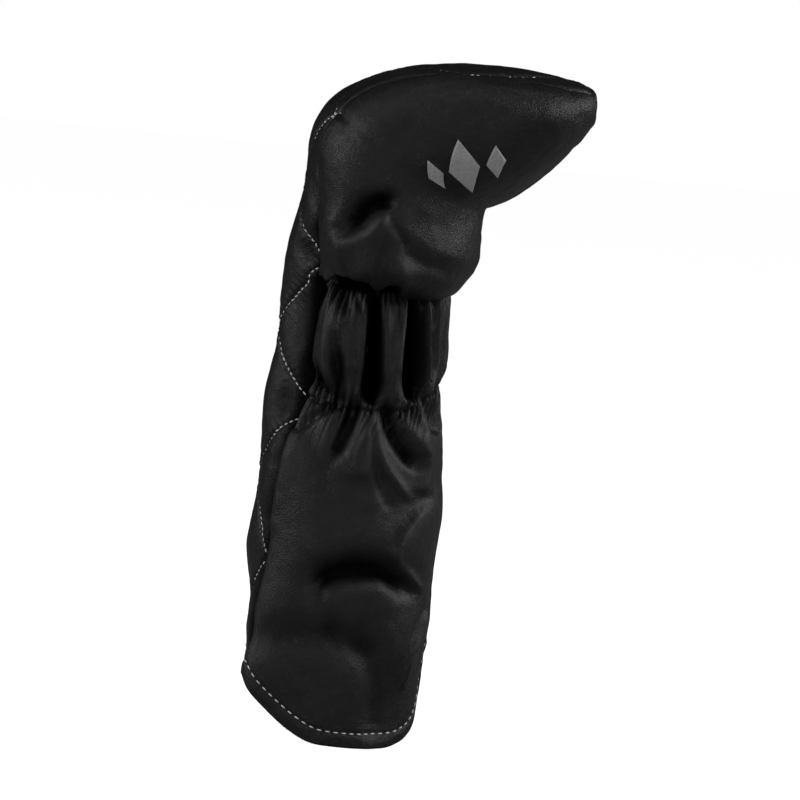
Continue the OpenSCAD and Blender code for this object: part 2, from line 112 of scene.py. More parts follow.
SHOULDER_FULLNESS, SHOULDER_RISE, NOSE_FULLNESS, BELLY_FULLNESS, PLAN_FULLNESS = 2.5, 2, 3.7, 1.3, 2.3
DEPTH_POWER, THROAT_POWER, SHOULDER_PACE = 5, 7, 0.8
BACK_SHARE, SHOULDER_SHARE, BELLY_SHARE, CORE_SHARE = 0.30, 0.73, 0.55, 0.86
WIDEST_REACH, NOSE_STRIP, WRAP_WEIGHT, SIDE_LEAD, SIDE_GAIN, SWELL_GAIN = 42, 0.66, 1.28, 0.843, 0.906, 6
HEM_WRAP, HEM_DRAW, LOBE_INSET, BASE_FLARE, BASE_LEAD, COLLAR_INSET, COLLAR_LEAD = 3, 1, 2.5, 2, 3, 1.5, 1
HEM_INSET = 0.75 * HEM_SWELL
THROAT_SHARE, THROAT_SPREAD, THROAT_EASE, THROAT_TUCK = 0.31, 0.12, 0.9, 1.0
EASE_SPAN, EASE_STEPS, NOSE_WRAP = 0.06, 9, 0.2

# Height, back, front, half depth, wrap of the strip, swell of the sides
SLEEVE_SECTIONS = np.array([
    (HEM_LOW, HEM_INSET - SKIRT_BACK, SKIRT_FRONT - HEM_DRAW, SKIRT_HALF_DEPTH - HEM_DRAW,
     HEM_WRAP, HEM_SWELL),
    (HEM_BACK, HEM_INSET - SKIRT_BACK, SKIRT_FRONT - HEM_DRAW, SKIRT_HALF_DEPTH, HEM_WRAP, HEM_SWELL),
    (HEM_BACK + SWELL_RISE, LOBE_INSET - SKIRT_BACK, SKIRT_FRONT, SKIRT_HALF_DEPTH, 0.2 * STRIP_WRAP,
     HEM_SWELL / 2),
    (NECK_BASE - FULL_DROP, -SKIRT_BACK, SKIRT_FRONT, SKIRT_HALF_DEPTH - HEM_DRAW, 0.5 * STRIP_WRAP, 0),
    (NECK_BASE - FLARE_DROP, HEM_DRAW - SKIRT_BACK, SKIRT_FRONT - HEM_DRAW, SKIRT_HALF_DEPTH - 2 * HEM_DRAW,
     0.72 * STRIP_WRAP, 0),
    (NECK_BASE, -NECK_BACK - BASE_FLARE, NECK_FRONT + BASE_LEAD, NECK_HALF_DEPTH + BASE_FLARE, STRIP_WRAP, 0),
    (0, -NECK_BACK, NECK_FRONT, NECK_HALF_DEPTH, STRIP_WRAP, 0),
    (NECK_TOP, COLLAR_INSET - NECK_BACK, NECK_FRONT + COLLAR_LEAD, NECK_HALF_DEPTH, STRIP_WRAP, 0)], float)
# Share of the way to the front seam, share of the hem's dip
HEM_OUTLINE = np.array([
    (0, 0), (0.1, 0), (0.15, 0.03), (0.2, 0.16), (0.3, 0.43), (0.4, 0.74), (0.47, 0.91), (0.55, 0.97),
    (0.7, 1), (0.8, 0.95), (0.9, 0.75), (0.96, 0.38), (1, -NOTCH_RISE / HEM_DIP)])
# How far the gathered lines are drawn up, by the share of the way to the front seam
LOWER_RISE = np.array([(0, 4), (0.15, 2), (0.35, 0), (0.6, 0), (0.8, 5), (1, 15)])
UPPER_RISE = np.array([(0, 1), (0.2, -0.5), (0.45, -0.5), (0.6, 1.8), (0.75, 2.4), (1, 4)])
LOWER_SPREAD, UPPER_SPREAD, COLLAR_SPREAD, COLLAR_ROOM = 22, 18, 25, 6
HEAD_RATE = 237                     # mm of the head in its whole share
print("from hem to crown:", CROWN_TOP - HEM_LOW, "mm")

# %% [markdown]
# ## Curves
# A few small functions do all the bending: a smooth curve through the rows of a table, a soft step, a
# bell that fades to both sides, and a mix of two values. Curve objects could be drawn by hand, but with
# functions one changed size moves everything that depends on it.

# %% Curves


def curve(table, x):
    """Columns of a table, read along a smooth curve through its rows at x in its first column."""
    x = np.asarray(x, float)
    places, count = table[:, 0], len(table)
    before, after = np.maximum(np.arange(count) - 1, 0), np.minimum(np.arange(count) + 1, count - 1)
    slopes = (table[after] - table[before]) / (places[after] - places[before])[:, None]
    i = np.clip(np.searchsorted(places, x, side="right") - 1, 0, count - 2)
    h = (places[i + 1] - places[i])[..., None]
    s = ((x - places[i])[..., None]) / h
    return ((1 + 2 * s) * (1 - s) ** 2 * table[i] + s * (1 - s) ** 2 * h * slopes[i]
            + s * s * (3 - 2 * s) * table[i + 1] - s * s * (1 - s) * h * slopes[i + 1])


def smooth(x):
    """Soft step from 0 to 1."""
    x = np.clip(x, 0, 1)
    return x * x * (3 - 2 * x)


def mix(a, b, x):
    return a + (b - a) * x


def unit(v):
    return v / np.maximum(np.linalg.norm(v, axis=-1, keepdims=True), 1e-9)


def bell(x):
    """1 in the middle, fading to both sides."""
    return np.exp(-x * x)


def fuller(wave, fullness):
    """A quarter of a wave, drawn out to a fuller bend."""
    return np.maximum(wave, 0) ** (2 / fullness)


def at_share(table, f):
    return curve(table, f)[..., 1]


print("a soft step has risen", smooth(0.25), "after a quarter of its way")

# %% [markdown]
# ## Sections
# A section is a slice through the cover. It says where the back and the front lie, how deep the slice is,
# and how far the strip wraps round it. On the sleeve the sections are level and come from the table. On
# the head they fan out between the two rails, whose bends are quarter waves made fuller.

# %% Sections


def hem_level(f):
    """Height of the hem at a share of the way to the front seam."""
    return HEM_BACK - HEM_DIP * at_share(HEM_OUTLINE, f)


def half_strip(depth, wrap):
    """Half the distance between the strip's edges, less than half its width where it wraps round."""
    return np.minimum(np.sqrt(STRIP_WIDTH ** 2 / 4 - WRAP_WEIGHT * wrap ** 2), NOSE_STRIP * depth)


def sleeve_section(z):
    """Back, front, half depth, wrap and swell of the level section at z."""
    _, back, front, depth, wrap, swell = np.moveaxis(curve(SLEEVE_SECTIONS, z), -1, 0)
    zero = 0 * back
    return np.stack([back, zero, z + zero], -1), np.stack([front, zero, z + zero], -1), depth, wrap, swell


def head_rails(t):
    """Rise of the collar and the head's two rails, from the collar at 0 to the tip of the nose at 1."""
    a = np.clip(t / BACK_SHARE, 0, 1)
    b = np.clip((t - BACK_SHARE) / (SHOULDER_SHARE - BACK_SHARE), 0, 1)
    c = np.clip((t - SHOULDER_SHARE) / (1 - SHOULDER_SHARE), 0, 1)
    turn, nose = np.pi / 2 * b ** SHOULDER_PACE, np.pi / 2 * c
    belly = np.pi / 2 * np.where(b < 1, BELLY_SHARE * b, mix(BELLY_SHARE, 1, c))
    back_x = np.where(t < BACK_SHARE, mix(COLLAR_INSET - NECK_BACK, -HEAD_BACK, smooth(a)), np.where(
        b < 1, CROWN_REACH - (CROWN_REACH + HEAD_BACK) * fuller(np.cos(turn), SHOULDER_FULLNESS),
        CROWN_REACH + (HEAD_REACH - CROWN_REACH) * fuller(np.sin(nose), NOSE_FULLNESS)))
    back_z = np.where(t < BACK_SHARE, mix(NECK_TOP, SHOULDER_BASE, a), np.where(
        b < 1, SHOULDER_BASE + SHOULDER_HEIGHT * fuller(np.sin(turn), SHOULDER_RISE),
        NOSE_LEVEL + (CROWN_TOP - NOSE_LEVEL) * fuller(np.cos(nose), NOSE_FULLNESS)))
    front_x = np.where(
        t < BACK_SHARE, mix(NECK_FRONT + COLLAR_LEAD, THROAT_REACH, 1 - (1 - a) ** THROAT_POWER),
        THROAT_REACH + (HEAD_REACH - THROAT_REACH) * fuller(np.sin(belly), BELLY_FULLNESS))
    front_z = np.where(
        t < BACK_SHARE, mix(NECK_TOP, THROAT_LEVEL, a),
        NOSE_LEVEL - (NOSE_LEVEL - THROAT_LEVEL) * fuller(np.cos(belly), BELLY_FULLNESS))
    return a, back_x, back_z, front_x, front_z


def head_section(t):
    """Back, front, half depth, wrap and swell of the head's fan, with the throat eased to a bend."""
    t = np.asarray(t, float)
    a, back_x, back_z, front_x, front_z = head_rails(t)
    eased = THROAT_EASE * bell((t - THROAT_SHARE) / THROAT_SPREAD)
    ways = [head_rails(np.clip(t + EASE_SPAN * k, 0, 1)) for k in np.linspace(-1, 1, EASE_STEPS)]
    front_x = mix(front_x, np.mean([way[3] for way in ways], axis=0) - THROAT_TUCK, eased)
    front_z = mix(front_z, np.mean([way[4] for way in ways], axis=0) + THROAT_TUCK / 2, eased)
    out = np.maximum(0, ((back_x + front_x) / 2 - WIDEST_REACH) / (HEAD_REACH - WIDEST_REACH))
    depth = (mix(NECK_HALF_DEPTH, HEAD_HALF_DEPTH, 1 - (1 - a) ** DEPTH_POWER)
             * np.maximum(0, 1 - out ** PLAN_FULLNESS) ** (1 / PLAN_FULLNESS))
    zero = 0 * t
    back, front = np.stack([back_x, zero, back_z], -1), np.stack([front_x, zero, front_z], -1)
    width = np.linalg.norm(front - back, axis=-1)
    wrap = np.minimum(mix(STRIP_WRAP, CROWN_WRAP, smooth(a)), NOSE_WRAP * width)
    return back, front, depth, wrap, zero


print("half depth at the collar:", round(float(head_section(0.0)[2]), 1), "mm")

# %% [markdown]
# ## Points of the form
# These functions turn a share into a point of the form. Vertices could be pulled there by hand, but a
# grid of shares places a whole panel at once, evenly, and as fine as its folds need.

# %% Points of the form


def side_point(section, f):
    """Point of the right side's form at the share f of the way from the strip to the front seam."""
    back, front, depth, wrap, swell = section
    width = np.maximum(np.linalg.norm(front - back, axis=-1), 1e-6)
    strip = half_strip(depth, wrap)
    bulge = (depth - SIDE_LEAD * strip) / SIDE_GAIN
    lobe = SWELL_GAIN * swell * np.sin(np.pi * f) * (1 - f) ** 2
    reach = wrap + (width - wrap) * (1 - np.cos(np.pi * f)) / 2 - lobe
    point = back + (front - back) * (reach / width)[..., None]
    point[..., 1] = strip * np.cos(np.pi / 2 * f) + bulge * np.sin(np.pi * f)
    return point


def strip_point(section, a):
    """Point of the strip's form at the place a across it."""
    back, front, depth, wrap, _ = section
    point = back + unit(front - back) * (wrap * a * a)[..., None]
    point[..., 1] = half_strip(depth, wrap) * a
    return point


def sleeve_form(f, z):
    """Form of a sleeve panel with its two gathered lines drawn up, and the centres of its sections."""
    lower = at_share(LOWER_RISE, f) * bell((z - NECK_BASE) / LOWER_SPREAD)
    upper = at_share(UPPER_RISE, f) * bell((z - NECK_TOP) / UPPER_SPREAD)
    level = np.minimum(z, NECK_TOP + COLLAR_ROOM)
    section = sleeve_section(level + lower + upper)
    point = side_point(section, f)
    point[..., 2] += z - level
    return point, section_centre(section)


def head_form(t, f):
    """The same for a head panel, whose collar follows the upper line."""
    point = side_point(head_section(t), f)
    point[..., 2] += at_share(UPPER_RISE, f) * bell(t * HEAD_RATE / COLLAR_SPREAD)
    return point, head_centre(t)


def section_centre(section):
    return (section[0] + section[1]) / 2


def head_centre(t):
    return section_centre(head_section(np.minimum(t, CORE_SHARE)))


def facing_out(grid, centre):
    """Unit normals of a grid of points, pointing away from the centres of its sections."""
    normal = unit(np.cross(np.gradient(grid, axis=0), np.gradient(grid, axis=1)))
    return normal * np.sign(np.sum(normal * (grid - centre), -1).mean())


print("neck at its middle:", np.round(side_point(sleeve_section(np.array(0.0)), np.array(0.5)), 1))

# %% [markdown]
# ## Folds
# Leather that an elastic draws in stands up in folds, and a padded panel dents where it bends. A sculptor
# would raise and press these with a brush. Here each stroke of the brush is a route over the picture,
# with a half width at each stop, a height, and an edge over which it fades, so a fold lies where the
# picture shows it. The two edges of a stroke may differ, which makes a fold lean over. Heights are in
# millimetres, the rest in pixels.

# %% Strokes of the brush
HEAD_STROKES = {
    "dent_under_shoulder": (-8.0, (9, 6), [(346, 229, 1), (355, 222, 5), (367, 212, 7), (380, 206, 5),
                                           (391, 203, 1)]),
    "bump_by_strip": (3.6, (13, 13), [(336, 224, 3), (343, 250, 8), (353, 270, 8)]),
    "lip_of_bump": (2.2, (8, 14), [(344, 242, 1), (356, 237, 3), (367, 228, 3), (378, 218, 3),
                                   (389, 212, 1)]),
    "ridge_below_dent": (3.6, (5, 12), [(384, 216, 1), (377, 240, 2), (369, 268, 2)]),
    "groove_by_ridge": (-2.4, (4, 5), [(390, 216, 1), (398, 230, 1.5), (406, 244, 1.5)]),
    "slack_over_collar": (-2.6, (11, 9), [(400, 252, 1), (424, 264, 5), (442, 271, 4), (458, 276, 1)]),
    "swell_over_collar": (1.8, (12, 12), [(398, 274, 2), (425, 285, 6), (448, 290, 4)]),
    "pinch_at_crown": (-2.0, (4, 4), [(333, 109, 1), (340, 113, 1.5), (345, 119, 1)]),
    "slack_behind_emblem": (-1.6, (18, 18), [(408, 218, 1), (422, 226, 5), (440, 232, 5),
                                             (452, 236, 1)]),
    "swell_by_emblem": (3.0, (26, 30), [(462, 172, 1), (492, 166, 5), (512, 158, 1)]),
}
SLEEVE_CUTS = {
    "first_pleat_valley": (-13.0, (2, 2), [(375, 284, 5), (375, 300, 6), (374.5, 330, 7.5),
                                           (374, 360, 9.5), (373, 380, 11.5), (372.5, 398, 12)]),
    "second_pleat_valley": (-13.0, (2, 2), [(418, 284, 6), (417.5, 300, 7), (415.5, 335, 9),
                                            (414, 365, 10), (413.5, 382, 9), (413.5, 396, 8)]),
    "front_pleat_hollow": (-8.0, (2, 2), [(436, 300, 3), (434.5, 330, 3.5), (433.5, 365, 2.5),
                                          (432, 380, 1)]),
}
SLEEVE_STROKES = {
    "first_valley_sides": (-5.0, (7, 7), [(376.5, 290, 3), (376, 320, 4), (375, 347, 5), (374, 384, 7)]),
    "second_valley_sides": (-5.0, (6, 6), [(419, 290, 3), (418, 320, 4), (416, 347, 5), (415, 384, 6)]),
    "seam_side": (-3.0, (6, 6), [(322, 290, 2), (316, 320, 2), (313, 350, 2), (314, 380, 2)]),
    "mid_pleat_hollow": (-3.2, (5, 5), [(399, 290, 4), (399, 306, 4), (397, 322, 2), (395, 336, 0.3)]),
    "back_pleat_rim": (2.4, (3, 2), [(367, 292, 0.5), (367, 310, 2), (366, 340, 2), (363, 370, 2),
                                     (358, 392, 0.5)]),
    "mid_pleat_rim": (2.2, (3, 3), [(384, 296, 0.5), (384.5, 315, 2), (386, 350, 2), (387, 380, 2),
                                    (387, 396, 0.5)]),
    "mid_pleat_front_rim": (2.0, (3, 3), [(409, 296, 0.5), (408, 320, 1.6), (405, 345, 1.2),
                                          (402, 370, 0.5)]),
    "thin_pleat": (4.0, (3, 3), [(427.5, 298, 0.5), (428, 320, 2), (428, 345, 2), (427.5, 368, 2),
                                 (426.5, 384, 0.5)]),
    "back_pleat_groove": (-6.0, (6, 6), [(334, 338, 0.3), (335, 354, 2), (337.5, 375, 4),
                                         (339, 398, 5)]),
    "seam_pleat_groove": (-5.5, (6, 5), [(308, 366, 0.5), (313, 380, 3), (321, 392, 4)]),
    "back_pleat_hollow": (-3.0, (5, 6), [(346, 290, 5), (346, 300, 5), (347, 308, 1)]),
    "back_pleat_notch": (-3.0, (2.5, 2.5), [(357.5, 292, 1.5), (359, 304, 1.5), (360, 312, 0.3)]),
    "back_pleat_swell": (1.4, (8, 6), [(361, 300, 2), (358, 330, 3), (355, 365, 4)]),
    "fold_along_strip": (2.4, (6, 6), [(321, 404, 1), (301, 418, 1.5), (292, 435, 2), (286, 458, 3),
                                       (279, 485, 4), (268, 520, 5)]),
    "crease_in_that_fold": (-3.5, (3, 3), [(333, 407, 1), (318, 413, 2), (304, 421, 2), (296, 428, 1)]),
    "slack_behind_it": (-2.6, (13, 13), [(306, 418, 0.5), (312, 436, 4), (319, 460, 4),
                                         (330, 492, 0.5)]),
    "first_hollow": (-5.5, (6, 6), [(355, 407, 1), (350, 419, 4), (345, 432, 6), (340, 445, 4),
                                    (334, 458, 0.5)]),
    "first_ridge": (2.4, (6, 6), [(366, 408, 3), (367, 426, 4), (366, 446, 6), (360, 470, 6)]),
    "groove_between": (-1.8, (4, 4), [(371.5, 428, 0.5), (373, 446, 1), (381, 487, 3), (388, 505, 2)]),
    "second_ridge": (1.8, (4, 4), [(376, 410, 1), (377, 429, 1.5), (378, 447, 2), (384, 464, 2.5),
                                   (396, 482, 3), (408, 497, 0.5)]),
    "second_hollow": (-6.0, (4, 5), [(386, 410, 1), (391, 425, 3), (399, 440, 5), (408, 454, 5),
                                     (417, 466, 1)]),
    "third_ridge": (1.8, (5, 5), [(399, 412, 1), (408, 427, 2), (417, 440, 3), (422, 450, 2)]),
    "fourth_ridge": (2.6, (5, 5), [(413, 406, 1), (422, 421, 1.5), (426, 441, 2), (428, 464, 3),
                                   (424, 487, 3)]),
    "front_hollow": (-5.0, (4, 4), [(427, 400, 2), (432, 412, 3), (437, 428, 2)]),
    "bent_fold": (5.0, (22, 4), [(434, 496, 0.2), (427, 506, 0.8), (414, 518, 2.2), (402, 533, 2.6),
                                 (394, 547, 2.2), (391, 557, 0.8), (393, 564, 0.2)]),
    "band_under_bend": (3.4, (4, 4), [(391, 552, 0.3), (392, 559, 2), (397, 567, 3), (405, 574, 3),
                                      (413, 582, 2), (420, 589, 0.2)]),
    "buckle": (-6.8, (11, 8), [(321, 594, 0.3), (322, 585, 1.5), (329, 577, 4), (341, 573, 6),
                               (356, 571, 7), (372, 571, 7), (383, 573, 6), (392, 578, 4), (401, 586, 2),
                               (409, 594, 0.3)]),
    "swell_over_buckle": (2.4, (24, 12), [(312, 558, 0.5), (328, 551, 4), (345, 546, 6), (365, 545, 6),
                                          (383, 548, 4), (392, 553, 0.5)]),
    "slack_down_from_buckle": (-1.4, (8, 8), [(317, 596, 0.5), (320, 608, 3), (328, 624, 4),
                                              (336, 640, 1)]),
    "level_slack": (-3.4, (18, 15), [(250, 634, 1), (262, 636, 3), (275, 637, 4), (290, 637, 3),
                                     (306, 636, 0.5)]),
    "level_slack_in_front": (-3.4, (16, 15), [(314, 634, 0.5), (330, 638, 3), (343, 641, 4),
                                              (354, 643, 3), (368, 647, 0.5)]),
    "upright_slack": (-3.2, (12, 14), [(364, 648, 0.5), (373, 662, 4), (379, 684, 5), (378, 708, 5),
                                       (376, 728, 2)]),
    "front_fold": (4.6, (3, 2), [(427, 610, 0.2), (423, 622, 1.2), (416, 640, 1.6), (410, 655, 1.6),
                                 (406, 669, 1.4), (402, 686, 0.3)]),
}
STRIP_STROKES = {
    "hollow_by_shoulder": (-2.5, (6, 6), [(318, 184, 1), (322, 196, 4), (322, 210, 1)]),
    "hollow_over_collar": (-2.5, (7, 7), [(312, 236, 1), (309, 250, 4), (312, 264, 1)]),
    "hollow_by_neck": (-1.8, (7, 7), [(300, 300, 1), (303, 320, 4), (300, 345, 1)]),
    "hollow_by_elastic": (-2.4, (6, 6), [(288, 388, 1), (283, 402, 4), (276, 416, 1)]),
    "hollow_by_skirt": (-3.0, (6, 6), [(287, 440, 1), (281, 465, 3), (272, 500, 4), (265, 525, 1)]),
}
print("strokes:", len(HEAD_STROKES), "on the head,", len(SLEEVE_STROKES), "on the sleeve")

# %% [markdown]
# ## The brush
# A sculpting brush presses or lifts the points near its route, most in the middle. This one does the same
# with numbers: it finds how far each point is from the route in the picture, and fades the height with
# that. The hidden side gets the same strokes a little shifted, as its folds would never be the same. Slow
# waves keep the hide from lying quite flat.

# %% The brush
FAR_SHIFT, FAR_SWING, FAR_PERIOD = 7, 6, 95             # pixels
FULL_STROKE, THIN_POWER = 3, 0.6                        # half width below which a stroke gets weaker
STROKE_REACH, WIDTH_SHARE = 3, 0.7
CUT_SLOPE, CUT_POWER = 0.8, 1.3
RIPPLE_WAVES, SHORT_WAVE, LONG_WAVE = 9, 0.7, 1.4


def rounded(route):
    """Stops of a route with two more between each pair, along a smooth curve."""
    stops = np.column_stack([np.arange(len(route)), route])
    return curve(stops, np.linspace(0, len(route) - 1, 3 * len(route) - 2))[:, 1:]


def cut(away):
    """Profile of a sharp valley with rounded edges."""
    return np.maximum(1 - CUT_SLOPE * away, 0) ** CUT_POWER


def brush(points, strokes, far, profile=bell):
    """Heights in mm that the strokes give to points of a side, a little shifted on the far side."""
    across, down = in_picture(points * (1, -1, 1))
    if far:
        across = across + FAR_SHIFT + FAR_SWING * np.sin(2 * np.pi * down / FAR_PERIOD)
    relief = np.zeros(points.shape[:-1])
    for height, edges, route in strokes.values():
        route = rounded(route)
        reach = STROKE_REACH * (route[:, 2].max() + max(edges))
        (left, top, _), (right, bottom, _) = route.min(0) - reach, route.max(0) + reach
        near = (across > left) & (across < right) & (down > top) & (down < bottom)
        x, y = across[near], down[near]
        nearest = np.zeros_like(x)
        for (x0, y0, w0), (x1, y1, w1) in zip(route, route[1:]):
            dx, dy = x1 - x0, y1 - y0
            s = np.clip(((x - x0) * dx + (y - y0) * dy) / (dx * dx + dy * dy), 0, 1)
            off_x, off_y, wide = x - x0 - s * dx, y - y0 - s * dy, mix(w0, w1, s)
            off = np.hypot(off_x, off_y)
            turn = (dx * off_y - dy * off_x) / (np.hypot(dx, dy) * off + 1e-9)
            away = off / (WIDTH_SHARE * wide + mix(*edges, (1 + turn) / 2))
            strength = np.clip(wide / FULL_STROKE, 0, 1) ** THIN_POWER
            nearest = np.maximum(nearest, profile(away) * strength)
        relief[near] += height * nearest
    return relief


def ripple(points, size, seed):
    """Gentle waves of about one size in mm, the same on every run."""
    rng = np.random.default_rng(seed)
    total = np.zeros(points.shape[:-1])
    for _ in range(RIPPLE_WAVES):
        way = unit(rng.normal(size=3)) * 2 * np.pi / size * rng.uniform(SHORT_WAVE, LONG_WAVE)
        total += np.sin(points @ way + rng.uniform(0, 2 * np.pi))
    return total / np.sqrt(RIPPLE_WAVES)


def waves(points, ripples, turn=0):
    """Several ripples together, each with its height and size in mm and its seed."""
    return sum(height * ripple(points, size, seed + turn) for height, size, seed in ripples)


def run_length(grid, axis):
    """Length along the rows or columns of a grid of points, in mm."""
    steps = np.linalg.norm(np.diff(grid, axis=axis), axis=-1)
    start = np.zeros_like(np.take(steps, [0], axis))
    return np.concatenate([start, np.cumsum(steps, axis)], axis)


def read_along(values, run, places):
    """Rows of values at places along their run."""
    return np.stack([np.interp(places, run, values[:, i]) for i in range(3)], -1)


print("a sharp valley fades out at", CUT_SLOPE ** -1, "of its width")

# %% [markdown]
# ## Shells
# A sewn layer is a sheet with two faces and an edge all round. Its outside is a fine grid of points, and
# its inside, which nobody sees, is a grid of half as many rows and columns. The faces between them close
# the edge. Where a grid ends in one point, as at the tip of the nose, the points are merged into one.

# %% Meshes from grids
DRESSING = []                       # each piece with the slot of its material


def add_piece(name, points, faces, slot, *nodes, shade=None):
    """A smooth closed mesh from points in mm, riding on the cover."""
    mesh = bpy.data.meshes.new(name)
    mesh.from_pydata((points * MM).tolist(), [], faces)
    if shade is not None:
        mesh.attributes.new("fold_shade", "FLOAT", "POINT").data.foreach_set("value", shade)
    work = bmesh.new()
    work.from_mesh(mesh)
    bmesh.ops.remove_doubles(work, verts=work.verts, dist=1e-7)
    bmesh.ops.recalc_face_normals(work, faces=work.faces)
    work.to_mesh(mesh)
    work.free()
    mesh.shade_smooth()
    piece = bpy.data.objects.new(name, mesh)
    bpy.context.scene.collection.objects.link(piece)
    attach(piece, "root")
    DRESSING.append((piece, slot))
    if nodes:
        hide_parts(*nodes)
    print(name, len(mesh.vertices), "points", len(mesh.polygons), "faces")
    return piece


def quads(index):
    """Faces of a grid of point numbers."""
    corners = [index[:-1, :-1], index[1:, :-1], index[1:, 1:], index[:-1, 1:]]
    return np.stack(corners, -1).reshape(-1, 4).tolist()


def edge_of(index):
    """Point numbers round the edge of a grid, in order."""
    return np.concatenate([index[0, :-1], index[:-1, -1], index[-1, :0:-1], index[:0:-1, 0]])


def shell(outside, inside):
    """Points and faces of a closed layer. The inside has every second row and column of the outside."""
    rows, columns = outside.shape[:2]
    outer = np.arange(rows * columns).reshape(rows, columns)
    inner = outer.size + np.arange(inside[..., 0].size).reshape(inside.shape[:2])
    rim, lining = edge_of(outer), edge_of(inner)
    strip = [[rim[2 * i - 2], rim[2 * i - 1], rim[2 * i % len(rim)], lining[i % len(lining)], lining[i - 1]]
             for i in range(1, len(lining) + 1)]
    points = np.concatenate([outside.reshape(-1, 3), inside.reshape(-1, 3)])
    return points, quads(outer) + quads(inner[:, ::-1]) + [[int(v) for v in face] for face in strip]


def joined(shells):
    """Points and faces of several shells as one mesh."""
    points, faces, start = [], [], 0
    for some, of_them in shells:
        points.append(some)
        faces += [[v + start for v in face] for face in of_them]
        start += len(some)
    return np.concatenate(points), faces


print("a shell of 3 by 3 points has", len(shell(np.zeros((3, 3, 3)), np.zeros((2, 2, 3)))[1]), "faces")

# %% [markdown]
# ## Seams
# Two pieces of leather are sewn with their edges turned in, so a seam is a valley between two rolled
# edges. It could be a groove pressed into one mesh, but here each piece is its own, so its edge goes on
# inwards and laps a little over the other's. That leaves no gap for the pale layers to show through.

# %% Seams
SEAM_DEPTH, SEAM_EDGE, SEAM_LAP = 5, 0.8, 1.2           # mm
LAP_COLUMN, LAP_EASE = 6, 0.5                           # column that gives the lap its way, mm that ease it
SHADE_START, SHADE_SPAN = 1.2, 6.5                      # mm of hollow before the shade, and until it is full
SEAM_CROWDING = 0.35


def sample(grid, row, column):
    """Value of a grid between its points, at row and column numbers that needn't be whole."""
    r = np.clip(row, 0, grid.shape[0] - 1.001)
    c = np.clip(column, 0, grid.shape[1] - 1.001)
    i, j = r.astype(int), c.astype(int)
    r, c = r - i, c - j
    if grid.ndim == 3:
        r, c = r[..., None], c[..., None]
    return ((grid[i, j] * (1 - c) + grid[i, j + 1] * c) * (1 - r)
            + (grid[i + 1, j] * (1 - c) + grid[i + 1, j + 1] * c) * r)


def side_shares(count):
    """Shares from the strip to the front seam, closer together at both seams."""
    even = np.linspace(0, 1, count)
    return even - SEAM_CROWDING * np.sin(2 * np.pi * even) / (2 * np.pi)


def sink(points, centre, depth):
    """Points moved towards the centre of their section."""
    return points + unit(centre - points) * np.asarray(depth)[..., None]


def turned_in(outside, inside, form, centre, extra_rows=0):
    """A piece's two grids with the first edge turned in to the seam, lapping over the other piece's."""
    ends = [sink(form, centre, depth) for depth in (SEAM_DEPTH, SEAM_DEPTH + SEAM_EDGE)]
    step = outside[:, :1] - outside[:, LAP_COLUMN:LAP_COLUMN + 1]
    lap = SEAM_LAP * step / (np.linalg.norm(step, axis=-1, keepdims=True) + LAP_EASE)
    seam, under = [np.concatenate([np.repeat(end[:1], extra_rows, 0), end])[:, None] + lap for end in ends]
    wall = (seam + outside[:, :1]) / 2
    return np.concatenate([seam, wall, outside], 1), np.concatenate([under[::2], inside], 1)


def fold_shade(strokes, extra_rows):
    """Shade from 0 to 1 in the hollows of a panel and full in its seam, for its outside and its inside."""
    hollows = smooth((-strokes - SHADE_START) / SHADE_SPAN)
    outer = np.pad(hollows, ((extra_rows, 0), (0, 0)), mode="edge")
    outer = np.pad(outer, ((0, 0), (2, 0)), constant_values=1)
    return np.concatenate([outer.ravel(), 0 * outer[::2, ::2].ravel()])


def on_side(points, far):
    """Points of the far side, or their mirror image for the near one."""
    return points if far else points * (1, -1, 1)


print("edges go in", SEAM_DEPTH, "mm at the seams and lap", SEAM_LAP, "mm")

# %% [markdown]
# ## Sleeve panels
# Each side of the sleeve is one piece of soft leather, cut as wide as the skirt and sewn to the quilted
# strip and to the other side. Two elastics inside draw it in to the neck, so it swells in pleats between
# them, puckers at the stitches and falls in folds below. Its hem is turned in, and curves like the tail
# of a shirt.

# %% Gathers and seams
SEAM_ROLL, SEAM_WIDTH = 2.0, 1.6                        # mm, as all the sizes of this cell
SEAM_PUFF, SEAM_PUFF_PLACE, SEAM_PUFF_WIDTH = 0.6, 4.5, 3
DRAW, DRAW_LENGTH, DRAW_FADE = 1.5, 8.5, 11
PUCKER_FULLNESS, PUCKER_LEVEL, PUCKER_SIZE = 0.8, 0.6, 0.75     # shares, not mm
PUCKER_DRIFT = ((0.75, 23, 1), (0.55, 9.7, 0))          # share, length and start of each wave
PUCKER_GROWTH = ((0.3, 31, 3), (0.2, 13, 1))            # the same, with the start in turns


def wave(run, length, turn):
    return np.sin(2 * np.pi * run / length + turn)


def puckers(run, length, turn):
    """Uneven small waves along a gathered seam, rounded on top and sharp in the hollows."""
    phase, size = np.pi * run / length + turn, PUCKER_SIZE
    for share, long, start in PUCKER_DRIFT:
        phase = phase + share * wave(run, long, start)
    for share, long, turns in PUCKER_GROWTH:
        size = size + share * wave(run, long, turns * turn)
    return (np.abs(np.sin(phase)) ** PUCKER_FULLNESS - PUCKER_LEVEL) * size


def seam_roll(run):
    """Heights beside a seam, where a panel turns in to it."""
    return SEAM_PUFF * bell((run - SEAM_PUFF_PLACE) / SEAM_PUFF_WIDTH) - SEAM_ROLL * bell(run / SEAM_WIDTH)


def hem_distance(run, z, hem):
    """Distance of the skirt's points from the hem, in mm, over the flat panel."""
    edge = np.stack([run[0], hem], -1)
    flat = np.stack([run, z], -1)
    return np.stack([np.linalg.norm(row[:, None] - edge[None], axis=-1).min(1) for row in flat])


print("a panel goes down", SEAM_ROLL, "mm at a seam, and its puckers are", DRAW_LENGTH, "mm long")

